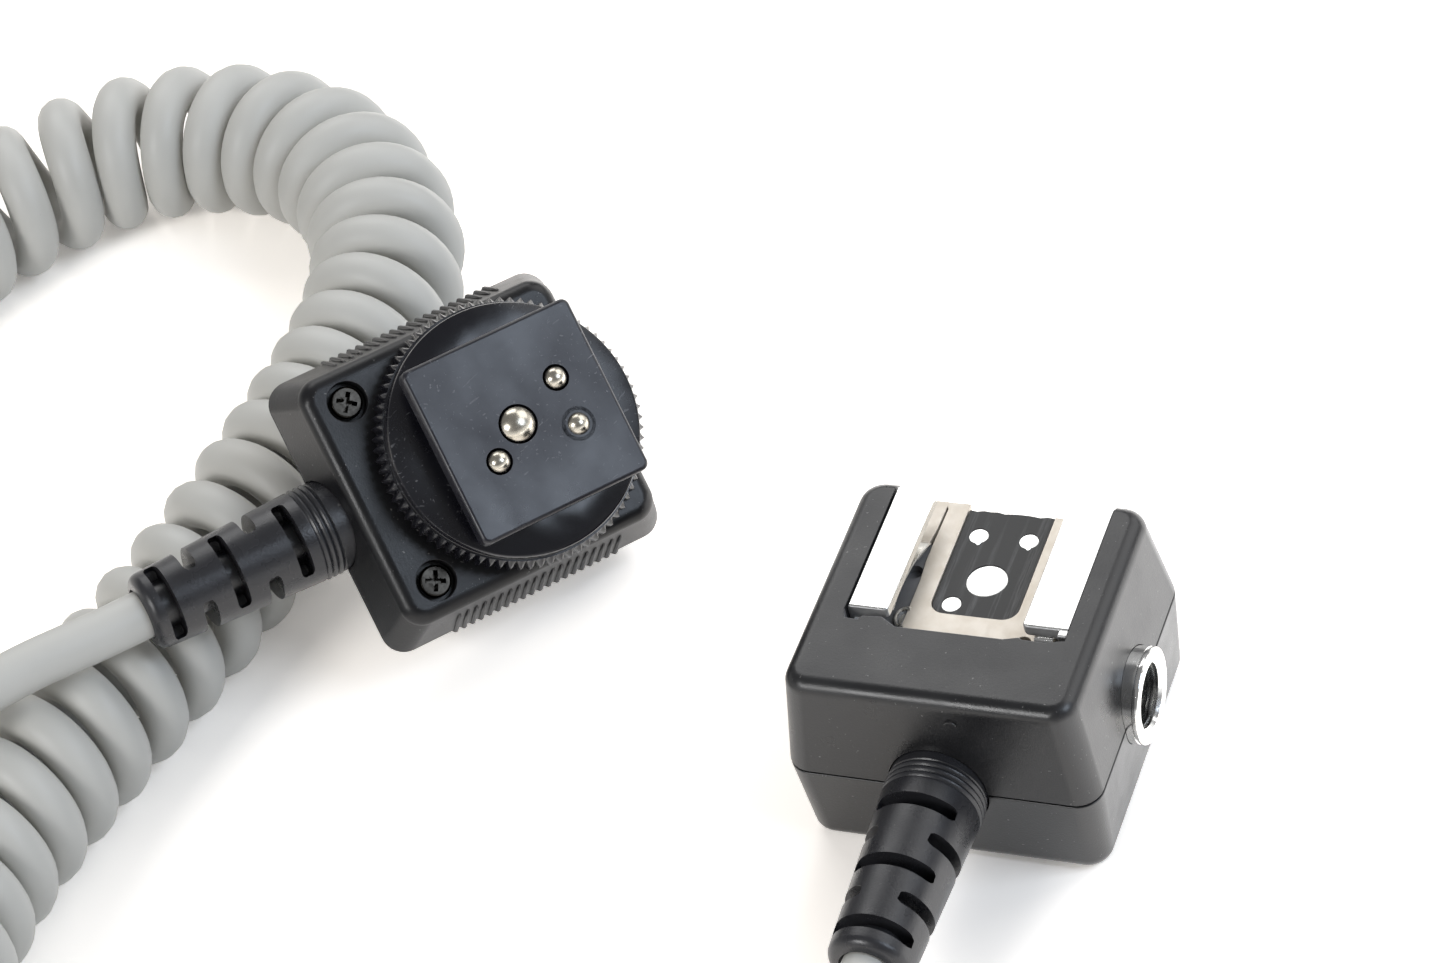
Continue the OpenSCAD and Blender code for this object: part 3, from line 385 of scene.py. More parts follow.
class Finish:
    """A procedural material: the shader, with helpers for the textures that feed it."""

    def __init__(self, name, colour, **sockets):
        self.material = bpy.data.materials.new(name)
        self.material.use_nodes = True
        self.tree = self.material.node_tree
        self.shader = self.tree.nodes["Principled BSDF"]
        self.shader.inputs["Base Color"].default_value = (*colour, 1)
        for key, value in sockets.items():
            self.shader.inputs[key.replace("_", " ")].default_value = value
        self.place = self.node("ShaderNodeTexCoord").outputs["Object"]

    def node(self, kind, **settings):
        made = self.tree.nodes.new(kind)
        for key, value in settings.items():
            setattr(made, key, value)
        return made

    def feed(self, socket, value):
        if isinstance(value, bpy.types.NodeSocket):
            self.tree.links.new(value, socket)
        else:
            socket.default_value = value

    def local(self, at_mm, turn, stretch=(1, 1, 1)):
        """Coordinates in a turned frame, divided by stretch."""
        mapping = self.node("ShaderNodeMapping", vector_type="TEXTURE")
        mapping.inputs["Location"].default_value = Vector(at_mm) * MM
        mapping.inputs["Rotation"].default_value = turn
        mapping.inputs["Scale"].default_value = stretch
        self.tree.links.new(self.place, mapping.inputs["Vector"])
        return mapping.outputs["Vector"]

    def noise(self, size_mm, detail=3.0, roughness=0.55, distortion=0.0, where=None):
        made = self.node("ShaderNodeTexNoise")
        made.inputs["Scale"].default_value = 1 / (size_mm * MM)
        made.inputs["Detail"].default_value = detail
        made.inputs["Roughness"].default_value = roughness
        made.inputs["Distortion"].default_value = distortion
        self.tree.links.new(where or self.place, made.inputs["Vector"])
        return made.outputs["Fac"]

    def cells(self, size_mm, where=None):
        made = self.node("ShaderNodeTexVoronoi")
        made.inputs["Scale"].default_value = 1 / (size_mm * MM)
        self.tree.links.new(where or self.place, made.inputs["Vector"])
        return made.outputs["Distance"]

    def between(self, value, low, high, out_low=0.0, out_high=1.0):
        made = self.node("ShaderNodeMapRange", interpolation_type="SMOOTHSTEP")
        made.inputs["From Min"].default_value = low
        made.inputs["From Max"].default_value = high
        made.inputs["To Min"].default_value = out_low
        made.inputs["To Max"].default_value = out_high
        self.tree.links.new(value, made.inputs["Value"])
        return made.outputs["Result"]

    def calc(self, operation, a, b=0.0):
        made = self.node("ShaderNodeMath", operation=operation)
        self.feed(made.inputs[0], a)
        self.feed(made.inputs[1], b)
        return made.outputs["Value"]

    def mix(self, factor, a, b):
        made = self.node("ShaderNodeMix", data_type="RGBA")
        self.feed(made.inputs["Factor"], factor)
        for socket, value in ((made.inputs["A"], a), (made.inputs["B"], b)):
            self.feed(socket, value if isinstance(value, bpy.types.NodeSocket) else (*value, 1))
        return made.outputs["Result"]

    def colour(self, value):
        self.tree.links.new(value, self.shader.inputs["Base Color"])

    def rough(self, value):
        self.tree.links.new(value, self.shader.inputs["Roughness"])

    def bumps(self, *layers):
        """Each layer is (height, depth in mm, strength)."""
        normal = None
        for height, depth, strength in layers:
            made = self.node("ShaderNodeBump")
            made.inputs["Distance"].default_value = depth * MM
            made.inputs["Strength"].default_value = strength
            self.tree.links.new(height, made.inputs["Height"])
            if normal:
                self.tree.links.new(normal, made.inputs["Normal"])
            normal = made.outputs["Normal"]
        self.tree.links.new(normal, self.shader.inputs["Normal"])


def casing_finish(name, colour, grain, ior=1.54):
    """Fine-grained satin moulding, with handling marks and dust."""
    f = Finish(name, colour, IOR=ior)
    fine = f.noise(0.22, 4, 0.6)
    patch = f.noise(6, 3)
    dust = f.between(f.noise(0.4, 2, 0.5), 0.71, 0.76)
    lighter = tuple(c * 1.5 for c in colour)
    tone = f.mix(f.between(patch, 0.35, 0.7, 0, 0.6), colour, lighter)
    f.colour(f.mix(f.calc("MULTIPLY", dust, 0.4), tone, (0.3, 0.29, 0.28)))
    f.rough(f.between(patch, 0.3, 0.75, 0.27, 0.37))
    f.bumps((fine, 0.03, grain))
    return f.material


def worn_finish(name, colour, turn_at, low=0.2, high=0.5, scratch=0.5):
    """Hard glossy moulding, rubbed and scratched by use."""
    f = Finish(name, colour, IOR=1.5)
    smudge = f.noise(11, 1, 0.4)
    fine = f.noise(0.8, 4, 0.6)
    lines = None
    for k, angle in enumerate((20, 75, 140)):
        turn = (UNIT_TURN[0], UNIT_TURN[1], UNIT_TURN[2] + math.radians(angle))
        where = f.local(turn_at, turn, (14, 1, 1))
        one = f.between(f.noise(0.35, 2, 0.5, 0.3, where), 0.68, 0.73)
        lines = one if lines is None else f.calc("MAXIMUM", lines, one)
    wave = f.noise(5.5, 1, 0.4)
    rub = f.between(smudge, 0.38, 0.7)
    marks = f.calc("MULTIPLY", lines, rub)
    lighter = tuple(c * 1.25 + 0.003 for c in colour)
    tone = f.mix(f.calc("MULTIPLY", rub, 0.5), colour, lighter)
    f.colour(f.mix(f.calc("MULTIPLY", marks, scratch), tone, (0.2, 0.2, 0.21)))
    f.rough(f.calc("ADD", f.between(smudge, 0.25, 0.75, low, high),
                   f.calc("MULTIPLY", fine, 0.08)))
    f.bumps((fine, 0.02, 0.12), (marks, 0.015, 0.3), (wave, 1.0, 0.26))
    return f.material


def rubber_finish():
    f = Finish("boot_rubber_grain", (0.022, 0.022, 0.025), IOR=1.52)
    fine = f.noise(0.24, 4, 0.7)
    patch = f.noise(3.5, 3)
    dust = f.between(f.noise(0.45, 3, 0.6), 0.68, 0.76)
    f.colour(f.mix(f.calc("MULTIPLY", dust, 0.35), (0.022, 0.022, 0.025), (0.2, 0.19, 0.18)))
    f.rough(f.between(patch, 0.3, 0.7, 0.24, 0.36))
    f.bumps((fine, 0.05, 0.4), (patch, 0.1, 0.06))
    return f.material


def jacket_finish():
    """Satin grey jacket, slightly mottled, with a few dark scuffs."""
    f = Finish("cord_jacket_satin", (0.56, 0.553, 0.52), IOR=1.5)
    patch = f.noise(9, 3)
    fine = f.noise(0.9, 4, 0.6)
    spots = f.between(f.noise(1.1, 3, 0.7, 0.6), 0.76, 0.8)
    zone = f.between(f.noise(16, 1), 0.55, 0.66)
    tone = f.mix(patch, (0.53, 0.523, 0.49), (0.6, 0.593, 0.56))
    f.colour(f.mix(f.calc("MULTIPLY", f.calc("MULTIPLY", spots, zone), 0.8), tone,
                   (0.05, 0.048, 0.045)))
    f.rough(f.between(patch, 0.3, 0.7, 0.42, 0.54))
    f.bumps((fine, 0.03, 0.12), (patch, 0.4, 0.12))
    return f.material


def plate_finish(name, colour, low, high, warm=None, metal=1.0):
    """Plating with rub marks; its floor parts can be warmer and duller."""
    f = Finish(name, colour, Metallic=metal)
    patch = f.noise(2.5, 4, 0.6)
    along = f.local((0, 0, 0), (0, 0, 0), (1, 12, 1))
    drawn = f.noise(0.3, 3, 0.5, 0, along)
    if warm:
        f.colour(f.mix(f.between(patch, 0.35, 0.65), colour, warm))
    f.rough(f.between(f.calc("ADD", f.calc("MULTIPLY", patch, 0.6),
                             f.calc("MULTIPLY", drawn, 0.4)), 0.35, 0.65, low, high))
    f.bumps((drawn, 0.006, 0.12), (patch, 0.05, 0.08))
    return f.material


def metal_finish(name, colour, low, high, dirt=0.0):
    f = Finish(name, colour, Metallic=1.0)
    patch = f.noise(0.8, 4, 0.65, 0.3)
    fine = f.noise(0.15, 3)
    darker = tuple(c * 0.45 for c in colour)
    if dirt:
        f.colour(f.mix(f.between(patch, 0.55, 0.75, 0, dirt), colour, darker))
    f.rough(f.between(patch, 0.3, 0.7, low, high))
    f.bumps((fine, 0.004, 0.2), (patch, 0.02, 0.15))
    return f.material


def band_finish():
    """Dark laminate, rubbed in bands along the shoe."""
    f = Finish("insulator_rubbed", (0.02, 0.02, 0.02), IOR=1.5)
    band = f.noise(1.1, 1, 0.5, 0, f.local((0, 0, 0), (0, 0, 0), (1, 40, 1)))
    fine = f.noise(0.25, 3, 0.6, 0, f.local((0, 0, 0), (0, 0, 0), (1, 16, 1)))
    rub = f.calc("MULTIPLY", f.between(band, 0.5, 0.68), f.between(fine, 0.35, 0.65))
    f.colour(f.mix(rub, (0.016, 0.016, 0.016), (0.1, 0.1, 0.1)))
    f.rough(f.between(rub, 0, 1, 0.45, 0.6))
    f.bumps((fine, 0.02, 0.2))
    return f.material


def board_finish():
    f = Finish("board_laminate", (0.03, 0.12, 0.05), IOR=1.5)
    weave = f.noise(0.5, 2)
    tracks = f.between(f.cells(1.8), 0.08, 0.12)
    f.colour(f.mix(tracks, (0.05, 0.2, 0.08), (0.02, 0.1, 0.04)))
    f.rough(f.between(weave, 0.3, 0.7, 0.3, 0.45))
    f.bumps((tracks, 0.03, 0.3))
    return f.material


FOOT_AT = UNIT @ Vector((0, 0, FOOT_FACE))
casing = casing_finish("casing_grain", (0.011, 0.011, 0.012), 0.5)
casing_low = casing_finish("casing_grain_lower", (0.014, 0.014, 0.015), 0.5)
# a paler copy of the casing's plastic; on the pocket's lining its thin strip is a painted edge
# highlight
pale_casing_painted_edge = casing_finish("casing_grain_pale_painted_edge", (0.13, 0.13, 0.133), 0.5)
unit_casing = casing_finish("casing_grain_unit", (0.007, 0.007, 0.008), 0.5, 1.4)
hard = worn_finish("hard_plastic_worn", (0.012, 0.012, 0.017), FOOT_AT, 0.2, 0.36)
wheel_hard = worn_finish("hard_plastic_wheel", (0.006, 0.006, 0.009), FOOT_AT, 0.13, 0.3, 0.6)
rubber = rubber_finish()
jacket = jacket_finish()
chrome = plate_finish("plated_sheet_bright", (0.86, 0.86, 0.85), 0.1, 0.3)
ring_chrome = plate_finish("plated_ring_bright", (0.84, 0.84, 0.83), 0.08, 0.2)
plate_floor = plate_finish("plated_sheet_floor", (0.68, 0.63, 0.56), 0.4, 0.48, (0.64, 0.58, 0.5),
                          0.6)
spring = metal_finish("spring_steel_bright", (0.62, 0.61, 0.58), 0.2, 0.4)
nickel = metal_finish("contact_nickel", (0.6, 0.56, 0.48), 0.18, 0.3, 0.5)
pad_metal = metal_finish("contact_pad_silver", (0.93, 0.93, 0.91), 0.25, 0.42)
cut_sheet = metal_finish("cut_sheet_edge", (0.62, 0.62, 0.62), 0.55, 0.7)
dark_screw = metal_finish("dark_screw_plating", (0.034, 0.031, 0.027), 0.16, 0.28, 0.4)
steel = metal_finish("steel_screw_plain", (0.5, 0.5, 0.48), 0.25, 0.45)
insulator = band_finish()
board = board_finish()
cord.data.materials.append(jacket)

# ---------- housings ----------


def half_rings(l, w, z0, z1, lean, r, roll, lip=0.14, steps=7):
    """Outlines from the parting line at z0 to the rolled face at z1."""
    up = 1 if z1 > z0 else -1
    height = abs(z1 - z0)
    rings = [rect_ring(l / 2 - lip, w / 2 - lip, r - lip, z0),
             rect_ring(l / 2 - lip * 0.3, w / 2 - lip * 0.3, r - lip * 0.3, z0 + up * lip * 0.3),
             rect_ring(l / 2, w / 2, r, z0 + up * lip)]
    side = height - roll
    rings.append(rect_ring(l / 2 - lean, w / 2 - lean, r, z0 + up * side))
    for k in range(1, steps + 1):
        a = math.radians(90 * k / steps)
        shrink = lean + roll * (1 - math.cos(a))
        rings.append(rect_ring(l / 2 - shrink, w / 2 - shrink, r + lean - shrink,
                               z0 + up * (side + roll * math.sin(a))))
    return rings


def half_housing(name, l, w, z0, z1, lean):
    """Half of a housing with its hollow."""
    up = 1 if z1 > z0 else -1
    outer = loft(name, half_rings(l, w, z0, z1, lean, CORNER, EDGE))
    depth = abs(z1 - z0) - WALL
    hollow = loft("hollow", [
        rect_ring(l / 2 - WALL, w / 2 - WALL, 2.1, z0 - up * 0.5, 6),
        rect_ring(l / 2 - WALL, w / 2 - WALL, 2.1, z0, 6),
        rect_ring(l / 2 - WALL - lean * 0.7, w / 2 - WALL - lean * 0.7, 2.1, z0 + up * depth, 6)])
    return outer, hollow


def tongue(l, w, z, inset=0.32):
    """The band behind a parting line, that closes it."""
    out = [rect_ring(l / 2 - inset, w / 2 - inset, CORNER - inset, z + d) for d in (-0.7, 0.7)]
    back = [rect_ring(l / 2 - inset - 0.8, w / 2 - inset - 0.8, CORNER - inset - 0.8, z + d)
            for d in (0.7, -0.7)]
    return loft("tongue", out + back + [out[0]], capped=False)


def turned_cutter(r, z0, z1, place, n=72):
    return moved(lathe("cutter", [(r, z0), (r, z1)], n), place)


GROOVE = 0.09
TO_CORD = at(0, -BLOCK_FRONT, PARTING) @ turned(90, "X")
TO_SIDE = at(BLOCK_W / 2, 0, PARTING) @ turned(90, "Y")


def block_cutters():
    return [turned_cutter(BOOT_R + 0.06, -4.8, 2, TO_CORD),
            turned_cutter(COLLAR_R + 0.06, -4.8, 2, TO_SIDE)]


# front edge of the shoe's pocket, from the left wall to the right one
POCKET_EDGE = [(-RAIL_W / 2 - 0.16, -3.2), (-10.6, -3.8), (-10.35, -4.35), (-9.05, -4.4),
               (-8.8, -3.9), (-6.9, -3.75), (-5.3, -4.75), (5.2, -4.75), (6.6, -4.35),
               (7.0, -4.55), (9.3, -4.6), (10.3, -4.3), (RAIL_W / 2 + 0.42, -4.15)]


def flash_block():
    top, hollow = half_housing("flash_top_housing", BLOCK_W, BLOCK_D, PARTING + GROOVE, BLOCK_H,
                               TOP_LEAN)
    moved(hollow, at(0, BLOCK_Y, PARTING) @ Matrix.Scale(0.52, 4, (0, 0, 1)) @ at(0, 0, -PARTING))
    moved(top, at(0, BLOCK_Y, 0))
    pocket = prism("pocket", POCKET_EDGE + [(POCKET_EDGE[-1][0], 30), (POCKET_EDGE[0][0], 30)],
                   POCKET_FLOOR, BLOCK_H + 1)
    cut(top, hollow, *block_cutters())
    soften(top, 0.16)
    cut(top, pocket)
    soften(top, 0.06, 2, 60)
    mark_y = -BLOCK_FRONT + TOP_LEAN * 0.76
    mark = loft("mark", [[(2.4 + (0.55 + 0.09 * math.cos(b)) * math.cos(a), mark_y - 0.05
                           - 0.08 * math.sin(b), 18.2 + (0.55 + 0.09 * math.cos(b)) * math.sin(a))
                          for b in np.linspace(0, 2 * math.pi, 8, endpoint=False)]
                         for a in np.radians(np.linspace(20, 160, 14))])
    top = shade(join("flash_top_housing", top, mark))
    finish_piece(top, casing, replaces=["flash_top_shell"])

    low, hollow = half_housing("flash_base_housing", BLOCK_W, BLOCK_D, PARTING - GROOVE, 0,
                               BASE_LEAN)
    moved(low, at(0, BLOCK_Y, 0))
    moved(hollow, at(0, BLOCK_Y, 0))
    recesses = [turned_cutter(2.05, -1, 1.5, at(x, y, 0), 48) for x, y in BASE_SCREWS]
    bush = turned_cutter(5.06, -1, 3, at())
    cut(low, hollow, bush, *recesses, *block_cutters())
    soften(low, 0.18)
    band = moved(tongue(BLOCK_W, BLOCK_D, PARTING), at(0, BLOCK_Y, 0))
    low = shade(join("flash_base_housing", low, band))
    finish_piece(low, casing_low, replaces=["flash_bottom_shell"])


flash_block()


# ---------- strain reliefs ----------


def slot_cutter(z, turn):
    """Two crescents that open a cross slot down to the cord; its ends are rounded."""
    inner, outer = CORD_D / 2 + 0.02, BOOT_R + 1
    reach = math.acos(min(1, 0.35 / inner))
    curve = [(inner * math.cos(a), inner * math.sin(a))
             for a in np.linspace(math.pi / 2 + reach, math.pi / 2 - reach, 25)]
    y0 = curve[0][1]
    made = []
    for s in (1, -1):
        rings = []
        for level, half in ((-0.7, 3.35), (-0.62, 3.62), (-0.4, 3.8), (0.4, 3.8), (0.62, 3.62),
                            (0.7, 3.35)):
            outline = [(-half, y0 + 0.9), (-half + 0.35, y0 + 0.25)] + curve \
                + [(half - 0.35, y0 + 0.25), (half, y0 + 0.9), (half, outer), (-half, outer)]
            rings.append([(x, y, level) for x, y in outline])
        made.append(moved(loft("slot", rings),
                          at(0, 0, z) @ turned(turn + (0 if s > 0 else 180), "Z")))
    return made


def boot(name, place, replaces, first, longer):
    """A strain relief: its first slot is centred first mm from the housing."""
    tip = BOOT_L - 1.6 + longer
    profile = [(0.001, -1.8), (BOOT_R - 0.05, -1.8), (BOOT_R - 0.05, 0.3)]
    # three soft rings next to the housing
    profile += [(BOOT_R - 0.16 * math.cos(math.pi * k / 5) ** 2 + 0.06 * (k % 5 > 0),
                 0.4 + 0.13 * k) for k in range(16)]
    profile += [(BOOT_R, 2.6)]
    profile += [(BOOT_R - (BOOT_R - BOOT_TIP) * k / 9, 2.6 + (tip - 2.6) * k / 9)
                for k in range(1, 10)]
    profile += arc(BOOT_TIP - 1.1, tip + 0.1, 1.1, 10, 80, 6)
    profile += [(CORD_D / 2 + 0.25, tip + 1.25), (CORD_D / 2 + 0.05, tip + 0.9),
                (CORD_D / 2 - 0.1, tip), (0.001, tip - 0.1)]
    obj = lathe(name, profile, 96)
    for i in range(5):
        cut(obj, *slot_cutter(first + i * 3.45, 90 * (i % 2)))
    soften(obj, 0.2, 3, 40)
    shade(obj, 40)
    finish_piece(obj, rubber, place=place, replaces=replaces)


boot("flash_strain_relief", TO_CORD, ["flash_cord_boot"], 5.0, 1.7)
UNIT_BOOT = at(-FOOT_OFFSET - UNIT_L / 2, 0, UNIT_H / 2) @ turned(-90, "Y") @ turned(90, "Z")
boot("camera_strain_relief", UNIT @ UNIT_BOOT, ["camera_cord_boot"], 4.4, 0.8)

# ---------- shoe ----------


def rail_section(y, side):
    """Section of one rail at y: floor edge, wall and lip, for the sheet folded over."""
    t = SHEET
    out = RAIL_W / 2 + (0.3 if side > 0 else 0.1)
    edge = max(0.0, 1 - (y - RAIL_FRONT) / 0.25)
    under = FLOOR + CHANNEL_H
    top = under + t - 0.22 * (1 - math.sqrt(max(0.0, 1 - edge * edge)))
    corner = max(0.0, 1 - (y - RAIL_FRONT) / 0.5)
    inner = LIP_GAP / 2 + (0 if side > 0 else 0.3) \
        + 0.45 * (1 - math.sqrt(max(0.0, 1 - corner * corner)))
    pts = [(out - t, FLOOR - 0.3), (out, FLOOR - 0.3), (out, top - 0.2)]
    pts += arc(out - 0.2, top - 0.2, 0.2, 15, 90, 4)
    pts += [(inner + 0.9, top)]
    pts += arc(inner + 0.22, top - 0.22, 0.22, 90, 180, 4)
    pts += arc(inner + 0.22, under + 0.22, 0.22, 180, 270, 3)
    pts += [(out - t - 0.3, under), (out - t, under - 0.3)]
    return [(side * x, y, z) for x, z in pts]


def stop(x0, x1):
    """A tongue of the sheet, folded back below the lip as a rounded stop."""
    outline = [(-1.5, 16.3)] + arc(-2.25, 18.6, 0.75, 0, 180, 16) + [(-3.0, 16.3)]
    return soften(loft("stop", [[(x, y, z) for y, z in outline] for x in (x0, x1)]), 0.2, 3, 60)


def shoe():
    front = RAIL_FRONT + np.array([0, 0.02, 0.07, 0.15, 0.25, 0.35, 0.5])
    rows = list(front) + list(np.linspace(RAIL_FRONT + 1.5, RAIL_BACK - 0.15, 8)) + [RAIL_BACK]
    rails = [soften(loft("rail", [rail_section(y, side) for y in rows]), 0.07, 3, 50)
             for side in (1, -1)]
    # the right wall runs on in front of its lip
    rails.append(soften(slab("wall", 9.9, 10.88, -3.25, -2.0, 16.3, 20.62), 0.2, 3, 50))
    rails += [stop(-10.4, -8.95), stop(7.3, 9.2)]
    rails = shade(join("shoe_rails", *rails), 40)
    finish_piece(rails, [chrome, cut_sheet], replaces=["shoe_bracket"])
    # the lips' cut front ends aren't polished
    for face in rails.data.polygons:
        if face.normal.y < -0.55 and face.center.z > (FLOOR + CHANNEL_H + 0.05) * MM:
            face.material_index = 1

    w = RAIL_W / 2 - SHEET + 0.1
    y0, y1 = RAIL_FRONT - 0.3, FLOOR_BACK
    floor = prism("shoe_floor", [(-w, y0), (w, y0), (w, RAIL_BACK), (7.4, RAIL_BACK), (7.4, y1),
                                 (-4.1, y1), (-4.1, y1 + 0.6), (-w, y1 + 0.6)],
                  POCKET_FLOOR, FLOOR)
    left, right, wy, turn_r = -4.42, 4.2, SHOE_Y - 4.7, 1.5
    window = [(right, 40), (left, 40)]
    for cx, start in ((left + turn_r, 180), (right - turn_r, 270)):
        window += [(cx + turn_r * math.cos(math.radians(start + 90 * k / 8)),
                    wy + turn_r + turn_r * math.sin(math.radians(start + 90 * k / 8)))
                   for k in range(9)]
    cut(floor, prism("window", window, POCKET_FLOOR - 1, FLOOR + 1))
    # opening below the leaf spring, and the notch beside the right stop
    opening = [(-w - 1, y0 - 1), (-6.35, y0 - 1), (-6.35, 4.5), (-6.55, 6.8), (-6.55, 9.2),
               (-6.5, 11.1), (-6.46, 13.8), (-6.62, 14.05), (-6.7, 11.1), (-6.9, 9.4),
               (-7.0, 8.4), (-7.4, 7.0), (-w - 1, 6.6)]
    cut(floor, prism("opening", opening, POCKET_FLOOR - 1, FLOOR + 1))
    notch = [(5.75 + 0.75 * math.cos(a), -1.8 + 0.75 * math.sin(a))
             for a in np.linspace(0, 2 * math.pi, 28, endpoint=False)]
    cut(floor, prism("notch", notch, POCKET_FLOOR - 1, FLOOR + 1))
    soften(floor, 0.12, 2, 40)
    shade(floor, 40)
    finish_piece(floor, plate_floor, replaces=["shoe_bracket"])

    # bowed leaf spring with its curled end, seen edge-on in the left channel
    path = [(-7.3, -0.5, 18.3), (-7.4, 1.2, 18.35), (-7.35, 3.0, 18.4), (-7.2, 5.0, 18.4),
            (-6.98, 6.7, 18.25), (-6.75, 8.1, 17.95), (-6.7, 9.0, 17.5), (-6.72, 9.4, 17.0)]
    line = smooth_route(path, 5)
    rings = []
    for p in line:
        x, y, z = p
        rings.append([(x - 1.7, y, z + 0.12), (x, y, z + 0.12), (x + 0.06, y, z),
                      (x, y, z - 0.12), (x - 1.7, y, z - 0.12)])
    strip = loft("strip", rings)
    # its front end is bent into a half-round hook with a raised rim
    rings = []
    for a in np.radians(np.linspace(75, 285, 22)):
        c, d = math.cos(a), math.sin(a)
        rings.append([(-6.3 + (0.98 + e) * c, -0.45 + (1.3 + e) * d, z)
                      for e, z in ((-0.24, 17.2), (-0.24, 17.55), (-0.16, 17.66), (-0.04, 17.66),
                                   (0.02, 17.55), (0.02, 17.2))])
    dish = [(-6.3 + 0.5 * math.cos(a), -0.6 + 0.7 * math.sin(a))
            for a in np.radians(np.linspace(110, 250, 16))]
    curl = join("curl", loft("hook", rings), prism("dish", dish, 17.2, 17.4))
    leaf = shade(join("shoe_spring_strip", strip, curl), 45, False)
    finish_piece(leaf, spring, replaces=["shoe_leaf_spring"])

    # the moulding that shows in the opening, with its half-round hole, in a paler copy of the
    # casing's plastic
    pad = prism("shoe_opening_moulding", [(-10.4, -3.5), (-6.38, -3.5), (-6.38, 4.5), (-6.58, 6.8),
                                          (-6.6, 9.1), (-9.4, 9.1)], POCKET_FLOOR, 17.25)
    cut(pad, turned_cutter(0.85, 16.4, 18, at(-7.25, 5.45), 40))
    # the lining along the pocket's front edge: its pale strip is a painted edge highlight
    lining = prism("lining", POCKET_EDGE + [(x, y + 0.14) for x, y in POCKET_EDGE[::-1]],
                   POCKET_FLOOR, BLOCK_H - 0.12)
    pad = join("shoe_opening_moulding", pad, lining)
    finish_piece(shade(pad), pale_casing_painted_edge, replaces=["flash_top_shell"])

    plate_z = FLOOR - 0.15
    gap = 0.06
    left, right = left + gap, right - gap
    outline = [(right, y1)] + [(right - k * (right - left) / 12,
                                y1 + 0.12 * math.sin(k * 2.1) * math.sin(k * 0.7))
                               for k in range(1, 12)] + [(left, y1)]
    for cx, start in ((left + turn_r - gap, 180), (right - turn_r + gap, 270)):
        outline += [(cx + (turn_r - gap) * math.cos(math.radians(start + 90 * k / 8)),
                     wy + turn_r + (turn_r - gap) * math.sin(math.radians(start + 90 * k / 8)))
                    for k in range(9)]
    plate = prism("shoe_insulator", outline, POCKET_FLOOR, plate_z)
    small = [(-SMALL_SIDE, SHOE_Y - SMALL_NEAR), (-SMALL_SIDE, SHOE_Y + SMALL_FAR),
             (SMALL_SIDE, SHOE_Y + SMALL_FAR)]
    holes = [(0, SHOE_Y, 2.0, False)] + [(x, y, 0.95, y > SHOE_Y) for x, y in small]
    pads = []
    for x, y, r, pointed in holes:
        ring = []
        for k in range(48):
            a = 2 * math.pi * k / 48
            reach = r + (0.3 * max(0, 1 - abs(((a - math.radians(280) + math.pi)
                                              % (2 * math.pi)) - math.pi) / 0.3)
                         if pointed else 0)
            ring.append((x + reach * math.cos(a), y + reach * math.sin(a)))
        cut(plate, prism("hole", ring, plate_z - 0.22, plate_z + 1))
        pads.append((x, y, r, ring))
    soften(plate, 0.06, 2, 40)
    shade(plate, 40)
    finish_piece(plate, insulator, replaces=["shoe_contact_plate"])
    made = []
    for x, y, r, ring in pads:
        rings = [[(x + (px - x) * f, y + (py - y) * f, z) for px, py in ring]
                 for f, z in ((0.99, plate_z - 0.25), (0.99, plate_z - 0.1), (0.93, plate_z - 0.05),
                              (0.6, plate_z - 0.04))]
        made.append(shade(loft("pad", rings), 40))
    finish_piece(made[0], pad_metal, replaces=["shoe_centre_contact"])
    made[0].name = "shoe_centre_pad"
    rest = join("shoe_small_pads", *made[1:])
    finish_piece(rest, pad_metal, replaces=["shoe_small_contacts"])


shoe()

# ---------- side terminal and tripod bush ----------


def terminal():
    x1 = COLLAR_RISE
    thread = []
    z = x1 - 0.55
    while z > -2.6:
        thread += [(COLLAR_BORE, z), (COLLAR_BORE + 0.28, z - 0.12), (COLLAR_BORE + 0.28, z - 0.2),
                   (COLLAR_BORE, z - 0.36)]
        z -= 0.5
    profile = [(COLLAR_R, -2.7), (COLLAR_R, x1 - 0.62), (COLLAR_R - 0.12, x1 - 0.55),
               (COLLAR_R - 0.12, x1 - 0.48), (COLLAR_R, x1 - 0.42), (COLLAR_R, x1 - 0.2)]
    profile += arc(COLLAR_R - 0.2, x1 - 0.2, 0.2, 20, 90, 4)
    profile += [(COLLAR_BORE + 0.5, x1), (COLLAR_BORE + 0.3, x1 - 0.06), (COLLAR_BORE, x1 - 0.4)]
    profile += thread + [(COLLAR_BORE, -2.7), (COLLAR_R, -2.7)]
    ring = shade(lathe("terminal_threaded_ring", profile, 128), 30, False)
    finish_piece(ring, ring_chrome, place=TO_SIDE, replaces=["terminal_collar"])

    bush = [(5.0, 0.12), (4.88, 0), (3.75, 0), (3.35, 0.3)]
    z = 0.45
    while z < 5.4:
        bush += [(3.175, z), (3.175, z + 0.2), (3.7, z + 0.62), (3.7, z + 0.8), (3.175, z + 1.2)]
        z += 1.27
    bush += [(3.175, 6.0), (0.001, 6.0)]
    outside = [(0.001, 7.0), (5.0, 7.0)]
    solid = lathe("tripod_threaded_bush", bush[::-1] + [], 96)
    drop(solid)
    solid = lathe("tripod_threaded_bush", outside + bush, 96)
    finish_piece(shade(solid, 30, False), ring_chrome, replaces=["tripod_bush"])


terminal()

# ---------- camera unit ----------


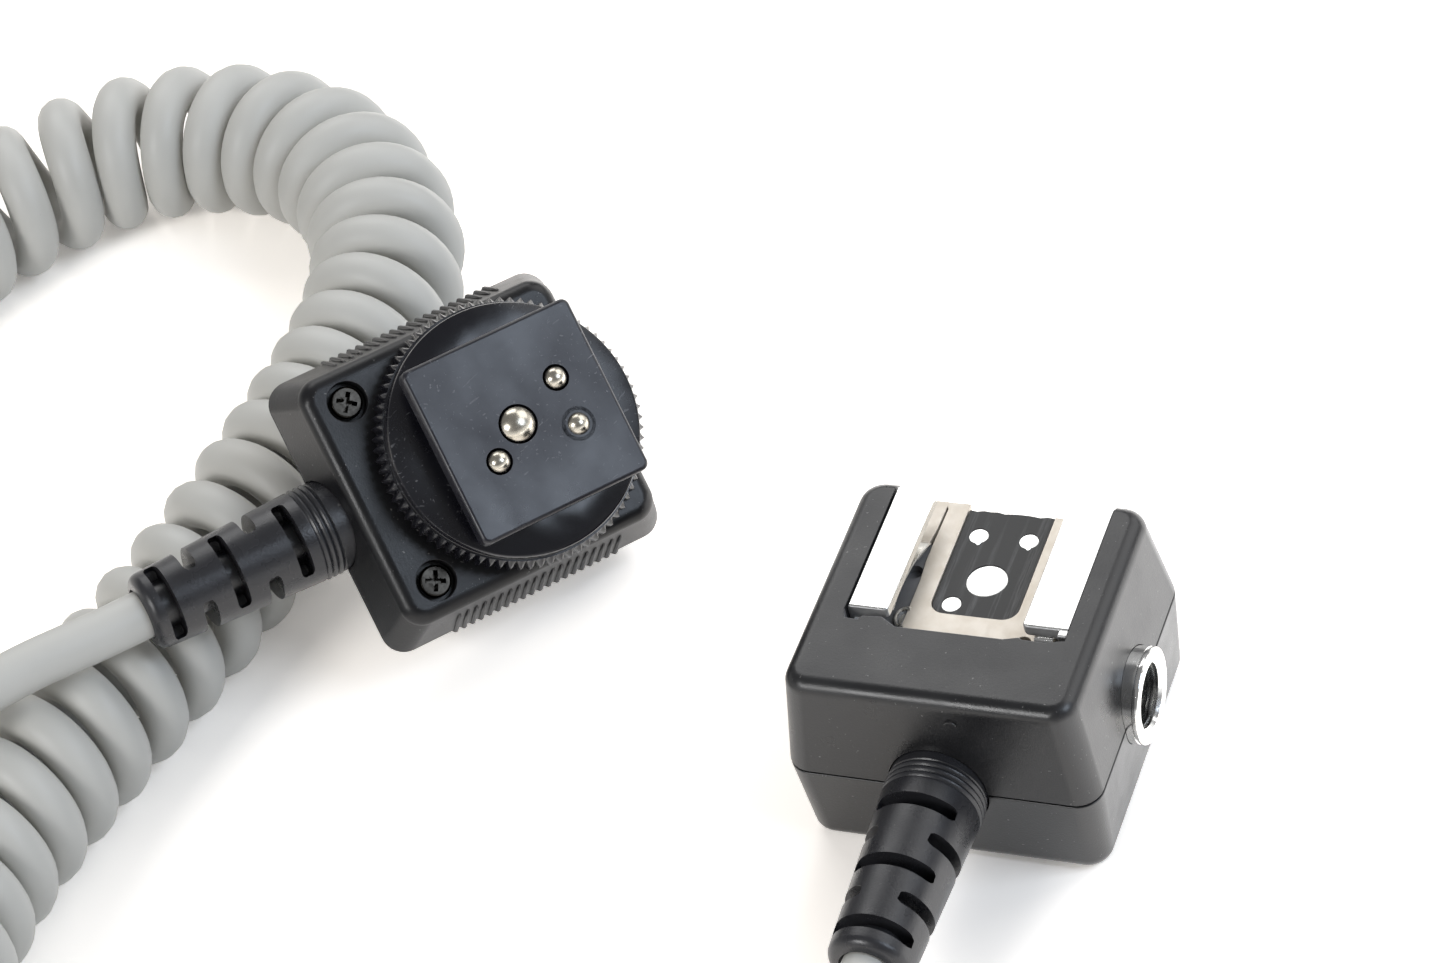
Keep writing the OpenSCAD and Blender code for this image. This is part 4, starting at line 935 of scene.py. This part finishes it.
def ribs(up):
    """Grip ribs on both sides, that follow the leaning wall and fade out below the roll."""
    made = []
    straight = UNIT_H / 2 - EDGE
    for k in range(20):
        x = -2.1 + (k - 9.5) * 0.97
        for side in (1, -1):
            rows = []
            for high, rise, half in ((GROOVE, 0.32, 0.26), (2.6, 0.32, 0.26), (3.6, 0.28, 0.25),
                                     (4.2, 0.17, 0.2), (4.5, -0.05, 0.12)):
                z = UNIT_H / 2 + up * high
                wall = UNIT_W / 2 - UNIT_LEAN * high / straight
                y, base = wall + rise, wall - 0.7
                rows.append([(x - half - 0.03, side * base, z), (x - half, side * (y - 0.2), z),
                             (x - half * 0.4, side * y, z), (x + half * 0.4, side * y, z),
                             (x + half, side * (y - 0.2), z), (x + half + 0.03, side * base, z)])
            made.append(loft("rib", rows))
    return join("ribs", *made)


def phillips(x, y, z, turn, place, up=True):
    """A pan-head cross screw: its face at z."""
    head = [(1.0, -1.3), (1.0, -1.1), (1.62, -1.1), (1.65, -0.35)]
    head += arc(1.25, -0.35, 0.4, 0, 70, 4) + [(0.9, 0.03), (0.5, 0.05), (0.001, 0.05)]
    obj = lathe("screw", head, 64)
    cross = []
    for a in (0, 90):
        arm = loft("arm", [[(-w, -t, h), (w, -t, h), (w, t, h), (-w, t, h)]
                           for w, t, h in ((0.7, 0.18, -1.0 + a * 0.001), (1.16, 0.25, 0.3))])
        cross.append(moved(arm, turned(a, "Z")))
    cut(obj, *cross)
    soften(obj, 0.05, 2, 35)
    shade(obj, 35)
    flip = Matrix.Identity(4) if up else turned(180, "X")
    return moved(obj, place @ at(x, y, z) @ flip @ turned(turn, "Z"))


def camera_unit():
    mid = UNIT_H / 2
    shift = at(-FOOT_OFFSET, 0, 0)
    holes = lambda: turned_cutter(BOOT_R + 0.06, -4.8, 2, UNIT_BOOT)
    screw_x, screw_y = -FOOT_OFFSET - UNIT_L / 2 + 5.8, UNIT_W / 2 - 5
    front, hollow = half_housing("camera_front_housing", UNIT_L, UNIT_W, mid + GROOVE, UNIT_H,
                                 UNIT_LEAN)
    moved(front, shift)
    moved(hollow, shift)
    cut(front, hollow, holes(), turned_cutter(8.0, 11, 15, at()),
        *[turned_cutter(2.05, UNIT_H - 1.5, UNIT_H + 1, at(screw_x, s * screw_y, 0), 48)
          for s in (1, -1)])
    soften(front, 0.2)
    front = shade(join("camera_front_housing", front, ribs(1)), 35)
    finish_piece(front, unit_casing, place=UNIT, replaces=["camera_front_shell"])

    back, hollow = half_housing("camera_back_housing", UNIT_L, UNIT_W, mid - GROOVE, 0, UNIT_LEAN)
    moved(back, shift)
    moved(hollow, shift)
    cut(back, hollow, holes())
    soften(back, 0.2)
    band = moved(tongue(UNIT_L, UNIT_W, mid), shift)
    back = shade(join("camera_back_housing", back, band, ribs(-1)), 35)
    finish_piece(back, unit_casing, place=UNIT, replaces=["camera_back_shell"])

    screws = join("camera_case_cross_screws", phillips(screw_x, screw_y, 13.6, 55, at()),
                  phillips(screw_x, -screw_y, 13.6, 65, at()))
    finish_piece(screws, dark_screw, place=UNIT, replaces=["camera_case_screws"])


camera_unit()
base_screws = join("flash_case_cross_screws",
                   *[phillips(x, y, 0.4, 20 + 4 * x + 5 * y, at(), False)
                     for x, y in BASE_SCREWS])
finish_piece(base_screws, dark_screw, replaces=["flash_case_screws"])

# ---------- foot, lock wheel and pins ----------

PINS = {"centre_pin": (-0.9, 0.0, 1.75, 0.9), "near_pin": (-4.25, -2.5, 1.12, 0.72),
        "far_left_pin": (4.6, 2.5, 1.12, 0.72), "far_right_pin": (4.6, -2.5, 1.12, 0.72)}


def foot():
    edge = 0.42
    rings = [rect_ring(9.25 - 0.2, 9.3 - 0.2, 0.7, NECK_TOP, 6),
             rect_ring(9.25, 9.3, 0.8, NECK_TOP + 0.2, 6)]
    for k in range(7):
        a = math.radians(15 * k)
        inward = edge * (1 - math.cos(a))
        rings.append(rect_ring(9.25 - inward, 9.3 - inward, 0.8 - inward * 0.8,
                               FOOT_FACE - edge + edge * math.sin(a), 6))
    plate = loft("foot_plate", rings)
    for x, y, r, _ in PINS.values():
        cut(plate, turned_cutter(r + 0.2, NECK_TOP - 1, FOOT_FACE + 1, at(x, y, 0), 64))
    soften(plate, 0.05, 2, 60)
    shade(plate, 30)
    finish_piece(plate, hard, place=UNIT, replaces=["mounting_foot"])

    neck = loft("foot_neck", [rect_ring(8.2, 6.1, 3.0, z, 8)
                              for z in (WHEEL_Z + RIM_T + FACE_T + 0.05, NECK_TOP + 0.2)])
    boss = [(0.001, UNIT_H - 2), (7.9, UNIT_H - 2)]
    z = UNIT_H - 1.8
    while z < WHEEL_Z + RIM_T + FACE_T - 0.2:
        boss += [(7.9, z), (7.9, z + 0.25), (7.6, z + 0.45), (7.6, z + 0.55), (7.9, z + 0.75)]
        z += 0.8
    boss += [(7.9, WHEEL_Z + RIM_T + FACE_T + 0.1), (0.001, WHEEL_Z + RIM_T + FACE_T + 0.1)]
    boss = lathe("boss", boss, 96)
    for solid in (neck, boss):
        for x, y, r, _ in PINS.values():
            cut(solid, turned_cutter(r + 0.6, UNIT_H - 4, NECK_TOP + 2, at(x, y, 0), 48))
    body = join("foot_neck_and_boss", soften(neck, 0.15, 2, 40), boss)
    finish_piece(shade(body, 35, False), hard, place=UNIT,
                 replaces=["mounting_foot"])


def lock_wheel():
    """Rim of V teeth below a smooth clamping disc, turning on the boss."""
    teeth, sub = 80, 6
    n = teeth * sub
    outer, depth, face_r, bore = 13.62, 0.65, 12.7, 8.01
    tooth = [1.0, 0.72, 0.36, 0.0, 0.36, 0.72]

    def ring(r, z, toothed=0.0):
        return [((r - toothed * depth * (1 - tooth[k % sub])) * math.cos(2 * math.pi * k / n),
                 (r - toothed * depth * (1 - tooth[k % sub])) * math.sin(2 * math.pi * k / n), z)
                for k in range(n)]

    z0, z1 = 0.0, RIM_T
    top = RIM_T + FACE_T
    rings = [ring(bore, 0.15), ring(bore + 0.15, 0), ring(outer - depth - 0.1, z0),
             ring(outer - depth + 0.05, z0 + 0.1),
             ring(outer - 0.25, z0 + 0.22, 0.8), ring(outer, z0 + 0.45, 1),
             ring(outer, z1 - 0.95, 1), ring(outer - 0.35, z1 - 0.4, 0.6),
             ring(outer - depth - 0.02, z1 - 0.02), ring(face_r + 0.06, z1),
             ring(face_r, z1 + 0.08), ring(face_r, top - 0.28), ring(face_r - 0.08, top - 0.1),
             ring(face_r - 0.28, top), ring(bore + 0.2, top), ring(bore, top - 0.2)]
    wheel = loft("toothed_lock_wheel", rings + [rings[0]], capped=False)
    shade(wheel, 28, False)
    finish_piece(wheel, wheel_hard, body="lock_wheel", place=UNIT @ at(0, 0, WHEEL_Z),
                 replaces=["lock_wheel"])


def pins():
    for name, (x, y, r, rise) in PINS.items():
        ball = (r * r + rise * rise) / (2 * rise)
        lowest = -5.4 - 1.05
        profile = [(0.001, lowest), (r + 0.4, lowest), (r + 0.4, lowest + 1.0), (r, lowest + 1.0),
                   (r, -0.12)]
        steps = 14
        span = math.asin(min(1, r / ball)) if rise <= r else math.pi / 2
        for k in range(steps + 1):
            a = span * (1 - k / steps)
            profile.append((max(ball * math.sin(a) - 0.01, 0.001), rise - ball + ball * math.cos(a)))
        pin = shade(lathe(name + "_domed", profile, 64), 40, False)
        finish_piece(pin, nickel, body=name, place=UNIT @ at(x, y, FOOT_FACE),
                     replaces=[name])


foot()
lock_wheel()
pins()

# ---------- CAD pieces that stay, with their finishes ----------

for node, material in (("flash_circuit_board", board), ("camera_contact_board", board),
                       ("terminal_insert", insulator), ("terminal_pins", nickel),
                       ("foot_screws", steel), ("centre_pin_spring", spring),
                       ("small_pin_springs", spring)):
    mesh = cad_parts[node].data
    mesh.materials.clear()
    mesh.materials.append(material)

# ---------- floor, backdrop and light ----------


def floor_finish():
    """Pale matt floor that reads as white where nothing shades it, with a painted light falloff:
    paler towards the back right.
    """
    m = bpy.data.materials.new("floor_white")
    m.use_nodes = True
    tree = m.node_tree
    tree.nodes.clear()
    node = tree.nodes.new
    out = node("ShaderNodeOutputMaterial")
    diffuse = node("ShaderNodeBsdfDiffuse")
    diffuse.inputs["Color"].default_value = (0.84, 0.84, 0.84, 1)
    # painted light falloff: the floor's colour is paler towards the back right than at the front
    # left
    where = node("ShaderNodeVectorMath")
    where.operation = "DOT_PRODUCT"
    where.inputs[1].default_value = (0.8, 0.6, 0)
    tree.links.new(node("ShaderNodeTexCoord").outputs["Object"], where.inputs[0])
    side = node("ShaderNodeMapRange")
    side.interpolation_type = "SMOOTHSTEP"
    side.inputs["From Min"].default_value = -0.025
    side.inputs["From Max"].default_value = 0.03
    tree.links.new(where.outputs["Value"], side.inputs["Value"])
    painted_falloff_tint = node("ShaderNodeMix")
    painted_falloff_tint.data_type = "RGBA"
    painted_falloff_tint.inputs["A"].default_value = (0.74, 0.655, 0.56, 1)
    painted_falloff_tint.inputs["B"].default_value = (0.9, 0.82, 0.73, 1)
    tree.links.new(side.outputs["Result"], painted_falloff_tint.inputs["Factor"])
    pale_painted_falloff = node("ShaderNodeBsdfDiffuse")
    tree.links.new(painted_falloff_tint.outputs["Result"], pale_painted_falloff.inputs["Color"])
    glow = node("ShaderNodeEmission")
    glow.inputs["Color"].default_value = (1.0, 1.0, 1.0, 1)
    none = node("ShaderNodeBsdfDiffuse")
    none.inputs["Color"].default_value = (0, 0, 0, 1)
    path = node("ShaderNodeLightPath")
    seen = node("ShaderNodeMath")
    seen.operation = "MAXIMUM"
    tree.links.new(path.outputs["Is Camera Ray"], seen.inputs[0])
    tree.links.new(path.outputs["Is Glossy Ray"], seen.inputs[1])
    # the glow is 0.16, and up to 1 in reflections at the back right: a painted reflection of a
    # brighter floor there
    painted_reflection_ramp = node("ShaderNodeMath")
    painted_reflection_ramp.operation = "MULTIPLY"
    tree.links.new(path.outputs["Is Glossy Ray"], painted_reflection_ramp.inputs[0])
    tree.links.new(side.outputs["Result"], painted_reflection_ramp.inputs[1])
    strength = node("ShaderNodeMapRange")
    strength.inputs["To Min"].default_value = 0.16
    strength.inputs["To Max"].default_value = 1.0
    tree.links.new(painted_reflection_ramp.outputs[0], strength.inputs["Value"])
    tree.links.new(strength.outputs["Result"], glow.inputs["Strength"])
    both = node("ShaderNodeMath")
    both.operation = "MAXIMUM"
    tree.links.new(seen.outputs[0], both.inputs[0])
    tree.links.new(path.outputs["Is Transmission Ray"], both.inputs[1])
    lift = node("ShaderNodeAddShader")
    tree.links.new(pale_painted_falloff.outputs[0], lift.inputs[0])
    tree.links.new(glow.outputs[0], lift.inputs[1])
    pick = node("ShaderNodeMixShader")
    tree.links.new(both.outputs[0], pick.inputs["Fac"])
    tree.links.new(none.outputs[0], pick.inputs[1])
    tree.links.new(lift.outputs[0], pick.inputs[2])
    add = node("ShaderNodeAddShader")
    tree.links.new(diffuse.outputs[0], add.inputs[0])
    tree.links.new(pick.outputs[0], add.inputs[1])
    tree.links.new(add.outputs[0], out.inputs["Surface"])
    return m


def stage():
    size = 2.5
    floor = new_object("floor", [(-size, -size, 0), (size, -size, 0), (size, size, 0),
                                 (-size, size, 0)], [(0, 1, 2, 3)])
    floor.location.z = -0.0001
    floor.data.materials.append(floor_finish())
    world = bpy.data.worlds.new("studio")
    scene.world = world
    world.use_nodes = True
    tree = world.node_tree
    node = tree.nodes.new
    back = tree.nodes["Background"]
    back.inputs["Color"].default_value = (1, 1, 1, 1)
    path = node("ShaderNodeLightPath")
    sharp = node("ShaderNodeMath")
    sharp.operation = "MAXIMUM"
    tree.links.new(path.outputs["Is Glossy Ray"], sharp.inputs[0])
    tree.links.new(path.outputs["Is Transmission Ray"], sharp.inputs[1])
    # the white backdrop stands round the set, below a dimmer studio
    where = node("ShaderNodeSeparateXYZ")
    tree.links.new(node("ShaderNodeTexCoord").outputs["Generated"], where.inputs[0])
    wall = node("ShaderNodeMapRange")
    wall.interpolation_type = "SMOOTHSTEP"
    wall.inputs["From Min"].default_value = 0.3
    wall.inputs["From Max"].default_value = 0.12
    tree.links.new(where.outputs["Z"], wall.inputs["Value"])
    low = node("ShaderNodeMath")
    low.operation = "MULTIPLY"
    tree.links.new(sharp.outputs[0], low.inputs[0])
    tree.links.new(wall.outputs["Result"], low.inputs[1])
    seen = node("ShaderNodeMath")
    seen.operation = "MAXIMUM"
    tree.links.new(path.outputs["Is Camera Ray"], seen.inputs[0])
    tree.links.new(low.outputs[0], seen.inputs[1])
    level = node("ShaderNodeMapRange")
    level.inputs["To Min"].default_value = 0.24
    level.inputs["To Max"].default_value = 1.0
    tree.links.new(seen.outputs[0], level.inputs["Value"])
    tree.links.new(level.outputs["Result"], back.inputs["Strength"])

    def lamp(name, way, distance, size, level, colour=(1, 1, 1)):
        """A softbox that faces the object from way; level is its brightness."""
        data = bpy.data.lights.new(name, "AREA")
        data.shape = "SQUARE"
        data.size = size
        data.energy = level * math.pi * size * size
        data.color = colour
        obj = bpy.data.objects.new(name, data)
        target = Vector((-0.05, 0.0, 0.01))
        way = Vector(way).normalized()
        obj.location = target + way * distance
        obj.rotation_euler = (-way).to_track_quat("-Z", "Y").to_euler()
        scene.collection.objects.link(obj)

    lamp("back_softbox", (-0.38, 0.63, 0.68), 0.8, 0.5, 2.35)
    lamp("back_right_softbox", (0.44, 0.65, 0.62), 0.8, 0.6, 1.8)
    lamp("front_softbox", (-0.33, -0.76, 0.56), 0.9, 0.3, 11.5)
    lamp("side_softbox", (0.755, 0.0, 0.655), 0.8, 0.36, 5.4, (0.76, 0.86, 1.0))


stage()
scene.view_settings.view_transform = "Standard"

bpy.context.view_layer.update()
